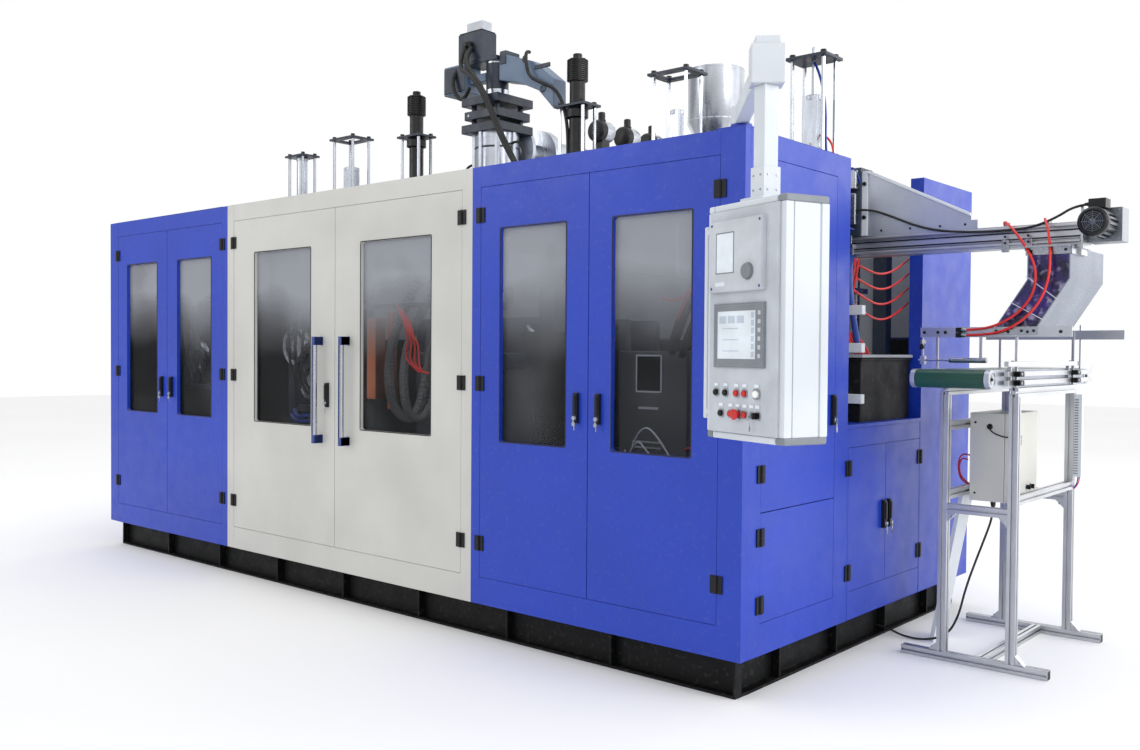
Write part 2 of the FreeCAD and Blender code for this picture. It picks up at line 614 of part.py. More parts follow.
# ---------------------------------------------------------------- frame of the press
def press_frame():
    parts = []
    for s, side in ((-1, "l"), (1, "r")):
        for f, y in (("front", "gantry_front"), ("back", "gantry_back")):
            parts.append(box(f"gantry_{side}_{f}", (f"{s} * gantry_x - column_size / 2", y, "base_height"),
                             ("column_size", "column_size", "cross_low - base_height")))
        parts.append(box(f"gantry_{side}_cross",
                         (f"{s} * gantry_x - column_size / 2", "gantry_front", "cross_low"),
                         ("column_size", "gantry_back + column_size - gantry_front", "beam_tall")))
        for f, y in (("front", "portal_front"), ("back", "portal_back")):
            parts.append(box(f"portal_{side}_{f}", (f"{s} * portal_x - portal_size / 2", y, "base_height"),
                             ("portal_size", "portal_size", "cross_low - base_height")))
        parts.append(box(f"portal_{side}_cross",
                         (f"{s} * portal_x - portal_size / 2", "portal_front", "cross_low"),
                         ("portal_size", "portal_back + portal_size - portal_front", "beam_tall")))
        parts.append(box(f"track_beam_{side}",
                         ("-gantry_x - column_size / 2", f"centre_y + {s} * track_offset - track_width / 2",
                          "track_low"),
                         ("2 * gantry_x + column_size", "track_width", "track_tall")))
        parts.append(box(f"track_rail_{side}",
                         ("-gantry_x - column_size / 2", f"centre_y + {s} * track_offset - rail_size / 2",
                          "track_low + track_tall"),
                         ("2 * gantry_x + column_size", "rail_size", "rail_size")))
        for p in (-1, 1):
            parts.append(box(f"track_post_{side}_{p + 1}",
                             (f"{p} * bay_x - portal_size / 2",
                              f"centre_y + {s} * track_offset - track_width / 2", "base_height"),
                             ("portal_size", "track_width", "track_low - base_height")))
        parts.append(box(f"long_beam_{side}",
                         ("-portal_x - portal_size / 2", f"centre_y + {s} * long_offset - long_width / 2",
                          "long_low"),
                         ("2 * portal_x + portal_size", "long_width", "long_tall")))
    parts.append(box("extruder_bridge", ("-gantry_x - column_size / 2", "gantry_back", "long_low"),
                     ("2 * gantry_x + column_size", "column_size", "long_tall")))
    parts.append(box("extruder_saddle", ("-barrel_radius", "saddle_y", "deck"),
                     ("2 * barrel_radius", "column_size / 2", f"barrel_z - barrel_radius - deck")))
    parts.append(box("takeoff_post", ("beam_start + beam_lead", "beam_y - 20", "beam_high"),
                     ("gusset_left - beam_start - beam_lead", "beam_deep + 40", "gusset_high + 20")))
    parts.append(box("takeoff_hanger", ("portal_x + portal_size / 2", "beam_y", "cross_low"),
                     ("2 * beam_lead", "beam_deep", "beam_tall")))
    node("press_frame", parts)


# ---------------------------------------------------------------- blow pin units
UNITS = (  # side, place along X, top plate over the deck, plate across X, plate across Y, kind
    ("a", "left", "(300 - portal_x)", 710, 250, 180, "plate"), ("b", "left", "(-1670)", 770, 300, 220,
                                                                "open"),
    ("c", "left", "(-870)", 690, 250, 180, "servo"), ("d", "right", "(750)", 690, 260, 180, "servo"),
    ("e", "right", "(1560)", 770, 300, 220, "open"), ("f", "right", "(portal_x - 160)", 700, 250, 200, "rod"))


PIN_SIDES = {"servo": 16, "rod": 8}


def pin_units():
    frames, cylinders = [], []
    pins = {"left": [], "right": []}
    for key, side, x, top, wide, deep, kind in UNITS:
        z_top = f"({PIN_SEAT} + {top})"
        base = box(f"pin_base_{key}",
                   (f"{x} - {wide} / 2", "centre_y - long_offset - long_width / 2", "deck"),
                   (f"{wide}", "2 * long_offset + long_width", "pin_base_thick"))
        bore = bar(f"pin_base_bore_{key}", (x, "centre_y", "deck - 1"), "pin_radius + pin_clear",
                   "pin_base_thick + 2", sides=8)
        frames.append(cut(f"pin_base_cut_{key}", base, [bore]))
        for i, (sx, sy) in enumerate(((-1, -1), (1, -1), (-1, 1), (1, 1))):
            frames.append(bar(f"pin_rod_{key}_{i}",
                              (f"{x} + {sx} * ({wide} / 2 - rod_end_gap)",
                               f"centre_y + {sy} * ({deep} / 2 - rod_end_gap)", PIN_SEAT),
                              "rod_radius", f"{z_top} - {PIN_SEAT}", sides=6))
        if kind == "open":
            for k, (x0, y0, long, broad) in enumerate((
                    (-wide / 2, -deep / 2, wide, 50),
                    (-wide / 2, deep / 2 - 50, wide, 50),
                    (-wide / 2, 50 - deep / 2, 50, deep - 100),
                    (wide / 2 - 50, 50 - deep / 2, 50, deep - 100))):
                frames.append(box(f"pin_top_bar_{key}_{k}", (f"{x} + {x0}", f"centre_y + {y0}", z_top),
                                  (f"{long}", f"{broad}", "top_plate_thick")))
        else:
            plate = box(f"pin_plate_{key}", (f"{x} - {wide} / 2", f"centre_y - {deep} / 2", z_top),
                        (f"{wide}", f"{deep}", "top_plate_thick"))
            if kind != "plate":
                radius = "servo_radius" if kind == "servo" else "rod_radius"
                hole = bar(f"pin_plate_hole_{key}", (x, "centre_y", f"{z_top} - 1"), f"{radius} + pin_clear",
                           "top_plate_thick + 2", sides=PIN_SIDES[kind])
                plate = cut(f"pin_plate_cut_{key}", plate, [hole])
            frames.append(plate)

        room = f"({top} * 0.72)"
        if kind == "servo":
            tube = bar(f"servo_tube_{key}", (x, "centre_y", PIN_SEAT), "servo_radius", f"{top} + 170")
            head = bar(f"servo_head_{key}", (x, "centre_y", f"{z_top} + 170"), "servo_head", "150", sides=8)
            cap = bar(f"servo_cap_{key}", (x, "centre_y", f"{z_top} + 320"), "servo_radius * 0.6", "36",
                      sides=8)
            outer = fuse(f"servo_{key}", [tube, head, cap])
        elif kind == "plate":
            outer = bar(f"cylinder_{key}", (x, "centre_y", PIN_SEAT), "cylinder_side / 2", f"{top} - 1")
        else:
            outer = box(f"cylinder_{key}",
                        (f"{x} - cylinder_side / 2", "centre_y - cylinder_side / 2", PIN_SEAT),
                        ("cylinder_side", "cylinder_side", room))
        bore = bar(f"cylinder_bore_{key}", (x, "centre_y", f"{PIN_SEAT} - 1"), "pin_radius + pin_clear",
                   f"pin_top - {PIN_SEAT} + 31", sides=8)
        cylinders.append(cut(f"cylinder_cut_{key}", outer, [bore]))
        if kind == "rod":
            cylinders.append(bar(f"cylinder_tail_{key}", (x, "centre_y", f"{PIN_SEAT} + {room}"),
                                 "rod_radius", f"{top} * 0.28 + top_plate_thick + 60", sides=8))
        pins[side].append(fuse(f"pin_{key}", [
            bar(f"pin_tip_{key}", (x, "centre_y", "deck - pin_reach"), "pin_tip_radius", "pin_tip_length",
                sides=8),
            bar(f"pin_stem_{key}", (x, "centre_y", "deck - pin_reach + pin_tip_length"), "pin_radius",
                "pin_top - deck + pin_reach - pin_tip_length", sides=8)]))
    node("pin_frames", frames)
    node("pin_cylinders", cylinders)
    node("left_blow_pins", pins["left"])
    node("right_blow_pins", pins["right"])


# ---------------------------------------------------------------- die head and extruder
def die_head():
    def ring(label, low, radius, length):
        return bar(label, ("0", "centre_y", low), radius, length)

    parts = [fuse("head_barrel", [
        ring("die_ring", "head_low - die_tall", "die_radius", "die_tall / 3"),
        ring("die_shoulder", "head_low - die_tall * 2 / 3", "(die_radius + head_radius) / 2",
             "die_tall * 2 / 3"),
        ring("head_body", "head_low", "head_radius", "head_high - head_low"),
        ring("head_collar", "deck", "collar_radius", "collar_thick")])]
    for i in range(3):
        side = f"(head_plate - {i % 2} * 30)"
        parts.append(box(f"head_plate_{i}",
                         (f"-{side} / 2", f"centre_y - {side} / 2", f"head_high + {i} * head_plate_pitch"),
                         (side, side, "head_plate_thick")))
    gap = "(head_plate_pitch - head_plate_thick)"
    for i in range(2):
        for k, (sx, sy) in enumerate(((-1, -1), (1, -1), (-1, 1), (1, 1))):
            parts.append(bar(f"head_bolt_{i}_{k}",
                             (f"{sx} * head_plate * 0.32", f"centre_y + {sy} * head_plate * 0.32",
                              f"head_high + {i} * head_plate_pitch + head_plate_thick"), "20", gap, sides=8))
    top = "(head_high + 2 * head_plate_pitch + head_plate_thick)"
    parts.append(bar("head_neck", ("0", "centre_y", top), "head_neck_radius", "neck_length"))
    cap = f"({top} + neck_length)"
    parts.append(box("head_cap", ("-240", "centre_y - 90", cap), ("318", "180", "30")))
    parts.append(box("head_valve", ("-327", "centre_y - 75", f"{cap} + 30"), ("240", "150", "208")))
    parts.append(box("head_valve_top", ("-275", "centre_y - 55", f"{cap} + 238"), ("176", "110", "84")))
    node("die_head", parts)
    node("head_arm", [
        profile("arm_plate", [[("0", "0"), ("187", "-43"), ("375", "-127"), ("514", "-269"), ("512", "-68"),
                               ("327", "78"), ("0", "191")]],
                "arm_wide", ("head_neck_radius + 0.3", "centre_y + arm_wide / 2", f"{top} + 113"), "y"),
        box("arm_box", ("-476", "centre_y - 75", f"{top} + 79"), ("231", "150", "209")),
        box("arm_box_mount", ("-245", "centre_y - 40", f"{top} + 140"),
            ("245 - head_neck_radius - 0.3", "80", "60"))])


def blower(name, y):
    """A cooling blower on the barrel cover: drum on its saddle, shoulder and small motor cap."""
    top = "(barrel_z + barrel_radius + blower_tall)"
    drum = bar(name + "_drum", ("0", y, "barrel_z"), "blower_radius", "barrel_radius + blower_tall * 0.72")
    shoulder = bar(name + "_shoulder", ("0", y, f"{top} - blower_tall * 0.28"), "blower_radius * 0.8",
                   "blower_tall * 0.2")
    cap = bar(name + "_cap", ("0", y, f"{top} - blower_tall * 0.08"), "blower_radius * 0.45",
              "blower_tall * 0.08 + blower_cap")
    core = bar(name + "_core", ("0", f"{y} - 2 * blower_radius", "barrel_z"), "barrel_radius",
               "4 * blower_radius", "y")
    return cut(name, fuse(name + "_drums", [drum, shoulder, cap]), [core])


def extruder():
    start = "(centre_y + head_radius + 0.3)"

    def ring(label, low, radius, high):
        return bar(label, ("0", low, "barrel_z"), radius, f"{high} - {low}", "y")

    flange_end = "(flange_y + flange_length)"
    barrel = fuse("barrel", [ring("barrel_adapter", start, "adapter_radius", "flange_y"),
                             ring("barrel_flange", "flange_y", "flange_radius", flange_end),
                             ring("barrel_cover", flange_end, "barrel_radius", "barrel_end")])
    parts = [barrel]
    half = "(throat_side / 2)"
    seat = box("throat_block", (f"-{half}", f"throat_y - {half}", "barrel_z"),
               ("throat_side", "throat_side", "cone_low - barrel_z"))
    core = bar("throat_core", ("0", "throat_y - throat_side", "barrel_z"), "barrel_radius",
               "2 * throat_side", "y")
    parts.append(cut("throat", seat, [core]))
    parts += [blower(f"blower_{i}", f"blower_first + {i} * blower_pitch") for i in range(3)]
    node("extruder", parts)


def extruder_drive():
    """The gearbox and motor behind the barrel, on a tall stand of their own."""
    start = "(barrel_end + 0.3)"
    half = "(gearbox_width / 2)"
    parts = [
        box("gearbox", (f"-{half}", start, "gearbox_low"),
            ("gearbox_width", "gearbox_length", "gearbox_tall")),
        bar("drive_motor", ("0", f"{start} + gearbox_length", "gearbox_low + gearbox_tall / 2"),
                 "motor_radius", "motor_length", "y", 24),
        box("drive_table", (f"-{half} - 60", start, "gearbox_low - 60"),
            ("gearbox_width + 120", "gearbox_length", "60"))]
    for i, (sx, far) in enumerate(((-1, 0), (1, 0), (-1, 1), (1, 1))):
        x = f"{sx} * ({half} + 60 - stand_leg / 2) - stand_leg / 2"
        parts.append(box(f"drive_leg_{i}", (x, f"{start} + {far} * (gearbox_length - stand_leg)", "0"),
                         ("stand_leg", "stand_leg", "gearbox_low - 60")))
    for i, z in enumerate(("300", "gearbox_low / 2")):
        for k, sx in enumerate((-1, 1)):
            parts.append(box(f"drive_brace_{i}_{k}",
                             (f"{sx} * ({half} + 60 - stand_leg / 2) - stand_leg / 2",
                              f"{start} + stand_leg", z),
                             ("stand_leg", "gearbox_length - 2 * stand_leg", "stand_leg")))
            parts.append(box(f"drive_tie_{i}_{k}",
                             (f"stand_leg - {half} - 60", f"{start} + {k} * (gearbox_length - stand_leg)", z),
                             (f"2 * {half} + 120 - 2 * stand_leg", "stand_leg", "stand_leg")))
    node("extruder_drive", parts)


def funnel(name, radii, bend, height):
    """The throat's polygon widening to the bin's, which then runs straight up to the rim."""
    rings = []
    for radius, rise in ((radii[0], 0), (radii[1], bend), (radii[1], height)):
        middle = Vector(0, sheet.throat_y, sheet.cone_low + rise)
        around = [math.radians(15 * k) for k in range(24)]
        rings.append([middle + Vector(radius * math.cos(a), radius * math.sin(a), 0) for a in around])
    faces = [Part.Face(Part.makePolygon(ring + ring[:1])) for ring in (rings[0], rings[2])]
    for low, high in zip(rings, rings[1:]):
        for k in range(24):
            quad = [low[k - 1], low[k], high[k], high[k - 1], low[k - 1]]
            faces.append(Part.Face(Part.makePolygon(quad)))
    obj = doc.addObject("Part::Feature", name)
    obj.Shape = Part.makeSolid(Part.makeShell(faces))
    return obj


def hopper():
    throat, full, wall = sheet.throat_radius, sheet.bin_radius, sheet.bin_wall
    bend = sheet.cone_tall
    height = sheet.cone_tall + sheet.bin_tall
    outer = funnel("hopper_outer", (throat + wall, full + wall), bend, height)
    inner = funnel("hopper_inner", (throat, full), bend, height)
    node("hopper", [cut("hopper_shell", outer, [inner])])


# ---------------------------------------------------------------- mould carriages
def carriage(label, x):
    """A bed on four shoes with an end plate, a ram shell and a pair of cross rails each way."""
    plate_low = f"({BED_LOW} + bed_tall)"
    parts = [box(f"{label}_bed", (f"{x} - carriage_width / 2", "bed_front", BED_LOW),
                 ("carriage_width", "bed_back - bed_front", "bed_tall"))]
    for i, (sx, sy) in enumerate(((-1, -1), (1, -1), (-1, 1), (1, 1))):
        parts.append(box(f"{label}_shoe_{i}",
                         (f"{x} + {sx} * carriage_width / 3 - 60", f"centre_y + {sy} * track_offset - 50",
                          f"{RAIL_TOP} + 0.3"),
                         ("120", "100", "shoe_tall - 0.3")))
    for side, y, out, shell_y in (("front", "end_plate_front", -1, "end_plate_front - ram_length"),
                                  ("back", "end_plate_back", 1, "end_plate_back + end_plate")):
        plate = box(f"{label}_{side}_plate", (f"{x} - platen_width / 2", y, plate_low),
                    ("platen_width", "end_plate", f"platen_low + platen_tall - {plate_low}"))
        way = bar(f"{label}_{side}_way", (x, f"{y} - 5", "ram_height"), "ram_bore", "end_plate + 10", "y", 8)
        parts.append(cut(f"{label}_{side}_drilled", plate, [way]))
        shell = bar(f"{label}_{side}_shell", (x, shell_y, "ram_height"), "ram_shell", "ram_length", "y", 12)
        start = f"{shell_y} + 15" if out < 0 else f"{shell_y} - 1"
        bore = bar(f"{label}_{side}_bore", (x, start, "ram_height"), "ram_bore", "ram_length - 14", "y", 8)
        parts.append(cut(f"{label}_{side}_ram", shell, [bore]))
    for i, sx in enumerate((-1, 1)):
        parts.append(box(f"{label}_guide_{i}", (f"{x} + {sx} * guide_offset - guide_width / 2",
                                                "end_plate_front + end_plate", plate_low),
                         ("guide_width", "end_plate_back - end_plate_front - end_plate", "guide_tall")))
    node(label, parts)


def mould_half(label, x, out):
    """A platen on two shoes with its half mould before it and its ram rod behind; out is -1 in front."""
    def from_face(near, far):
        return f"centre_y + {near}" if out > 0 else f"centre_y - ({far})"
    face = "(mould_depth + platen_thick)"
    mould = box(f"{label}_block", (f"{x} - mould_width / 2", from_face("0", "mould_depth"), "mould_low"),
                ("mould_width", "mould_depth", "mould_tall"))
    platen = box(f"{label}_platen", (f"{x} - platen_width / 2", from_face("mould_depth", face), "platen_low"),
                 ("platen_width", "platen_thick", "platen_tall"))
    reach = f"(end_plate_back + end_plate + 20 - centre_y - {face})" if out > 0 else \
        f"(centre_y - {face} - end_plate_front + 20)"
    rod = bar(f"{label}_rod", (x, from_face(face, f"{face} + {reach}"), "ram_height"), "ram_radius", reach,
              "y", 8)
    parts = [mould, platen, rod]
    for i, sx in enumerate((-1, 1)):
        parts.append(box(f"{label}_shoe_{i}",
                         (f"{x} + {sx} * guide_offset - 45",
                          from_face("mould_depth - 10", "mould_depth + 110"),
                          f"{BED_LOW} + bed_tall + guide_tall + 0.3"),
                         ("90", "120", f"platen_low - {BED_LOW} - bed_tall - guide_tall - 0.3")))
    node(label, parts)


def clamps():
    for side, x in (("left", "0"), ("right", "station_pitch")):
        carriage(f"{side}_carriage", x)
        mould_half(f"{side}_front_mould", x, -1)
        mould_half(f"{side}_back_mould", x, 1)


# ---------------------------------------------------------------- take-off beam, chute and motor
def slotted(x_size, y_size, slots_x, slots_y):
    """The corners of a rectangle with open slots at the given places on its faces, anticlockwise."""
    points = []

    def side(start, slots, along, deep):
        points.append(start)
        for centre in slots:
            points.extend([along(f"({centre}) - slot / 2", "0"), along(f"({centre}) - slot / 2", deep),
                           along(f"({centre}) + slot / 2", deep), along(f"({centre}) + slot / 2", "0")])
    side(("0", "0"), slots_x, lambda s, d: (s, d), "slot_deep")
    side((x_size, "0"), slots_y, lambda s, d: (f"{x_size} - {d}", s), "slot_deep")
    side((x_size, y_size), [f"{x_size} - ({c})" for c in reversed(slots_x)],
         lambda s, d: (f"{x_size} - ({s})", f"{y_size} - {d}"), "slot_deep")
    side(("0", y_size), [f"{y_size} - ({c})" for c in reversed(slots_y)],
         lambda s, d: (d, f"{y_size} - ({s})"), "slot_deep")
    return points


def takeoff():
    tall = "(beam_high - beam_low)"
    beam = profile("beam_section",
                   [slotted("beam_deep", tall, ["beam_deep / 2"], [f"{tall} / 4", f"{tall} * 3 / 4"])],
                   "beam_end - beam_start", ("beam_start", "beam_y", "beam_low"), "x")
    fittings = [box(f"hose_fitting_{i}", (f"{x} - 10", "beam_y + beam_deep - 20", "beam_high"),
                    ("20", "20", "26"))
                for i, x in enumerate(("chute_x + 142", "chute_x + 340"))]
    lugs = [box("chute_lug_l", ("chute_x + 282", "beam_y", "chute_top - 36"),
                ("20", "beam_deep", "beam_low - chute_top + 36")),
            box("chute_lug_r", ("chute_x + 497", "beam_y", "chute_top - 36"),
                ("20", "beam_deep", "beam_low - chute_top + 36"))]
    end = [box("beam_end_plate", ("beam_end", "beam_y - 20", "beam_low - 20"),
               ("plate_thick", "beam_deep + 40", f"{tall} + 90"))]
    bracket = profile("gusset_plate", [[("0", "0"), ("gusset_right - gusset_left", "0"),
                                      ("gusset_right - gusset_left",
                                       "gusset_tip"), ("40", "gusset_high"), ("0", "gusset_high")]],
                     "plate_thick", ("gusset_left", "beam_y + 14", "beam_high"), "y")
    block = box("gusset_block", ("gusset_right", "beam_y", "beam_high"), ("34", "40", "44"))
    gland = box("cable_gland", ("beam_start + 40", "beam_y - 44", "beam_high + 128"), ("30", "24", "24"))
    node("takeoff_beam", [beam, bracket, block, gland] + fittings + lugs + end)

    axis = ("motor_x", "motor_z")
    gear = box("takeoff_gearbox", ("beam_end + plate_thick", "beam_y + 60", "motor_z - 80"),
               ("150", "110", "160"))
    fins = []
    count = 16
    for i in range(count):
        for turn, radius in ((0.0, "(cowl_radius * 0.82)"), (0.45, "(cowl_radius * 0.82)"),
                             (0.5, "cowl_radius"), (0.95, "cowl_radius")):
            angle = 360 * (i + turn) / count
            fins.append((f"{radius} * cos({angle:.3f})", f"{radius} * sin({angle:.3f})"))
    body = profile("motor_fins", [fins], "150", (axis[0], "beam_y + 60", axis[1]), "y")
    cowl = fuse("motor_cowl", [
        bar("cowl_drum", (axis[0], "beam_y - 124", axis[1]), "cowl_radius", "34", "y"),
        bar("cowl_end", (axis[0], "beam_y - 134", axis[1]), "cowl_radius - 8", "20", "y")])
    terminal = box("terminal_box", (f"{axis[0]} - 38", "beam_y - 60", f"{axis[1]} + cowl_radius"),
                   ("76", "84", "46"))
    node("takeoff_motor", [gear, body, cowl, terminal])

    shell = [("152", "0"), ("352", "0"), ("352", "20"), ("497", "chute_tall - 150"), ("497", "chute_tall"),
             ("302", "chute_tall"), ("302", "chute_tall - 150"), ("152", "20")]
    inner = [("152 + chute_sheet", "-1"), ("352 - chute_sheet", "-1"), ("352 - chute_sheet", "21"),
             ("497 - chute_sheet", "chute_tall - 149"), ("497 - chute_sheet", "chute_tall + 1"),
             ("302 + chute_sheet", "chute_tall + 1"), ("302 + chute_sheet", "chute_tall - 151"),
             ("152 + chute_sheet", "19")]
    at = ("chute_x", "chute_front + chute_length", "chute_top - chute_tall")
    outer = profile("chute_outer", [shell], "chute_length", at, "y")
    core = profile("chute_core", [inner], "chute_length - 2 * chute_sheet",
                   ("chute_x", "chute_front + chute_length - chute_sheet", "chute_top - chute_tall"), "y")
    node("takeoff_chute", [cut("chute_shell", outer, [core])])


# ---------------------------------------------------------------- conveyor on its stand
bar_section = doc.addObject("Sketcher::SketchObject", "bar_section")


def bar_outline():
    outline(bar_section, slotted("bar_side", "bar_side", ["bar_side / 2"], ["bar_side / 2"]))


def strut(name, at, length, along):
    return rolled(name, bar_section, at, length, along)


def gusset(name, at, along, flip_a, flip_b):
    """A corner gusset: a right triangle of one bar's side, pulled across the bar."""
    a, b = ("-bar_side" if flip_a else "bar_side"), ("-bar_side" if flip_b else "bar_side")
    return profile(name, [[("0", "0"), (a, "0"), ("0", b)]], "bar_side - 10", at, along)


def conveyor_stand():
    parts = []
    back_end = "(back_y + bar_side)"
    run = "(back_y - front_y - bar_side)"
    under = "(leg_top - bar_side)"
    for f, y in (("front", "front_y"), ("back", "back_y")):
        parts.append(strut(f"stand_foot_{f}", ("foot_left", y, "0"), "foot_length", "x"))
        for i, x in enumerate(("leg_left", "leg_right")):
            parts.append(strut(f"stand_leg_{f}_{i}", (x, y, "bar_side"), f"{under} - bar_side", "z"))
        parts.append(strut(f"stand_brace_{f}", ("leg_left + bar_side", y, "brace_z"),
                           "leg_right - leg_left - bar_side", "x"))
        parts.append(gusset(f"foot_gusset_{f}_l", ("leg_left", f"{y} + bar_side - 5", "bar_side"), "y", True,
                            False))
        parts.append(gusset(f"foot_gusset_{f}_r",
                            ("leg_right + bar_side", f"{y} + bar_side - 5", "bar_side"), "y", False, False))
        parts.append(gusset(f"brace_gusset_{f}_l", ("leg_left + bar_side", f"{y} + bar_side - 5", "brace_z"),
                            "y", False, True))
        parts.append(gusset(f"brace_gusset_{f}_r", ("leg_right", f"{y} + bar_side - 5", "brace_z"), "y",
                            True, True))
        for i, x in enumerate(("foot_left - 4", "foot_left + foot_length")):
            parts.append(box(f"foot_cap_{f}_{i}", (x, y, "0"), ("4", "bar_side", "bar_side")))
    parts.append(strut("stand_tie", ("tie_x", "back_y", "0"), run, "y"))
    for i, x in enumerate(("leg_left", "leg_right")):
        parts.append(strut(f"stand_top_{i}", (x, back_end, under), "back_y - front_y + bar_side", "y"))
    parts.append(strut("stand_side_low", ("leg_left", "back_y", "side_low"), run, "y"))
    parts.append(strut("stand_side_high", ("leg_left", "back_y", "side_high"), run, "y"))
    parts.append(strut("stand_side_right", ("leg_right", "back_y", "side_low"), run, "y"))
    node("conveyor_stand", parts)


def racetrack(name, x, width, radius):
    """A drum at each end of the belt with the block between them."""
    far = "nose_y + belt_length"
    return fuse(name, [cylinder(name + "_nose", (x, "nose_y", "belt_z"), radius, width, "x"),
                       cylinder(name + "_tail", (x, far, "belt_z"), radius, width, "x"),
                       box(name + "_mid", (x, "nose_y", f"belt_z - ({radius})"),
                           (width, "belt_length", f"2 * ({radius})"))])


def conveyor():
    tail_y = "(nose_y + belt_length)"
    inside = "(roller_radius + 0.3)"
    outer = racetrack("belt_outer", "belt_left", "belt_width", f"{inside} + belt_thick")
    core = racetrack("belt_inner", "belt_left - 1", "belt_width + 2", inside)
    node("conveyor_belt", [cut("belt", outer, [core])])
    for label, y in (("nose_roller", "nose_y"), ("drive_roller", tail_y)):
        reach = "(cheek_gap + cheek)"
        node(label, [fuse(label + "_turned", [
            bar(label + "_drum", ("belt_left", y, "belt_z"), "roller_radius", "belt_width", "x", 24),
            bar(label + "_shaft", (f"belt_left - {reach}", y, "belt_z"), "shaft_radius",
                f"belt_width + 2 * {reach}", "x")])])
    half = "(belt_z - leg_top)"
    parts = []
    for i, x in enumerate(("belt_left - cheek_gap - cheek", "belt_left + belt_width + cheek_gap")):
        cheek = racetrack(f"cheek_{i}", x, "cheek", half)
        bores = [bar(f"cheek_{i}_bore_{k}", (f"{x} - 1", y, "belt_z"), "shaft_radius + run_gap", "cheek + 2",
                     "x")
                 for k, y in enumerate(("nose_y", tail_y))]
        parts.append(cut(f"cheek_{i}_bored", cheek, bores))
    parts.append(box("slider_bed", ("belt_left - cheek_gap", "nose_y + 60", f"belt_z + {inside} - 12.3"),
                     ("belt_width + 2 * cheek_gap", "belt_length - 120", "12")))
    outside = "(belt_left + belt_width + cheek_gap + cheek)"
    rail_x = f"({outside} + 16)"
    for i, z in enumerate(("leg_top + 14.5", "leg_top + 56.5", "leg_top + 104.5")):
        parts.append(box(f"side_rail_{i}", (rail_x, "nose_y + 120", z), ("20", "belt_length - 120", "24")))
        for k, y in enumerate(("-100", "810")):
            if i < 2:
                parts.append(box(f"rail_clamp_{i}_{k}", (f"{rail_x} + 20", f"{y} - 30", f"{z} - 1"),
                                 ("30", "60", "26")))
    for k, y in enumerate(("-106", "804")):
        parts.append(box(f"rail_bracket_{k}", (outside, y, "leg_top + 11.5"), ("16", "12", "117")))
    for i, (x, y, low, top) in enumerate((
            (f"{outside} + 4", "front_y", "leg_top", "(bar_low + 20)"),
            (f"{outside} + 4", "back_y + bar_thick", "leg_top", "(bar_low + bar_height)"),
            ("belt_left - cheek_gap - cheek - 12", "front_y", "(leg_top + 11.5)", "(bar_low + bar_height)"),
            ("belt_left - cheek_gap - cheek - 12", "back_y + bar_thick", "(leg_top + 11.5)",
             "(bar_low + bar_height)"))):
        parts.append(box(f"bar_rod_{i}", (x, y, low), ("12", "12", f"{top} - {low}")))
    for f, y in (("front", "front_y - bar_thick"), ("back", "back_y + 20")):
        parts.append(box(f"{f}_plate_bar", ("foot_left + 80", y, "bar_low"),
                         ("730", "bar_thick", "bar_height")))
    parts.append(box("tall_plate", (f"{rail_x} + 20", "back_y + 35", "leg_top + 86.5"), ("8", "255", "240")))
    parts.append(fuse("stop_post", [
        bar("stop_post_rod", ("stop_x", "stop_y", "stop_z + 21"), "4", "bar_low - stop_z - 21", sides=8),
        bar("stop_post_knob", ("stop_x", "stop_y", "stop_z + 84"), "15", "20", sides=8)]))
    guide = box("stop_guide_block", ("stop_x - 12", "stop_y - 12", "stop_z - 21"), ("24", "24", "42"))
    way = bar("stop_guide_way", ("stop_x - 13", "stop_y", "stop_z"), "stop_bore", "26", "x")
    parts.append(cut("stop_guide", guide, [way]))
    shell = fuse("stop_shell", [
        bar("stop_tube", ("stop_x + 137", "stop_y", "stop_z"), "12", "184", "x"),
        box("stop_hanger", ("stop_x + 285", "front_y - bar_thick", "stop_z + 6"),
            ("14", "bar_thick", "bar_low - stop_z - 6"))])
    bore = bar("stop_bore_way", ("stop_x + 136", "stop_y", "stop_z"), "stop_bore", "171", "x")
    parts.append(cut("stop_cylinder", shell, [bore]))
    for i, z in enumerate(("bar_low + 24", "bar_low - 2")):
        parts.append(box(f"bar_fitting_{i}", ("stop_x + 175", "front_y - bar_thick - 24", z),
                         ("28", "24", "24")))
    node("conveyor_frame", parts)
    node("stopper_rod", [bar("stopper", ("stop_x - 24", "stop_y", "stop_z"), "stop_bore - 0.5", "175", "x")])

    face = "(leg_left + bar_side)"
    duct = box("cable_duct", ("leg_right + bar_side", "back_y + 5", "side_low + 70"),
               ("40", "35", "leg_top - side_low - 123.5"))
    gland = bar("box_gland", (f"{face} + 83", "400", "side_low - 55"), "14", "25", sides=8)
    control = box("control_box", (face, "280", "side_low - 30"), ("200", "450", "side_high - side_low + 110"))
    node("stand_box", [control, duct, gland])
    for i, y in enumerate(("560", "620")):
        node(f"box_selector_{i + 1}", [fuse(f"selector_{i}", [
            bar(f"selector_{i}_boss", (f"{face} + 200.3", y, "side_low + 30"), "12", "10", "x"),
            box(f"selector_{i}_grip", (f"{face} + 210.3", f"{y} - 4", "side_low + 18"), ("12", "8", "24"))])])
    chute = profile("scrap_sheet",
                    [[("0", "0"), ("150", "0"), ("150", "22"), ("147", "22"), ("147", "3"), ("3", "3"),
                                     ("3", "22"), ("0", "22")]], "side_low + 30",
                    ("foot_left + 40", "290", "0.5"), "z")
    chute.Placement.Rotation = Rotation(Vector(0, 1, 0), 10.6).multiply(Rotation(Vector(0, 0, 1), 90))
    above = box("scrap_trim", ("foot_left + 110", "280", "side_low"), ("150", "170", "60"))
    node("scrap_chute", [cut("scrap_cut", chute, [above])])


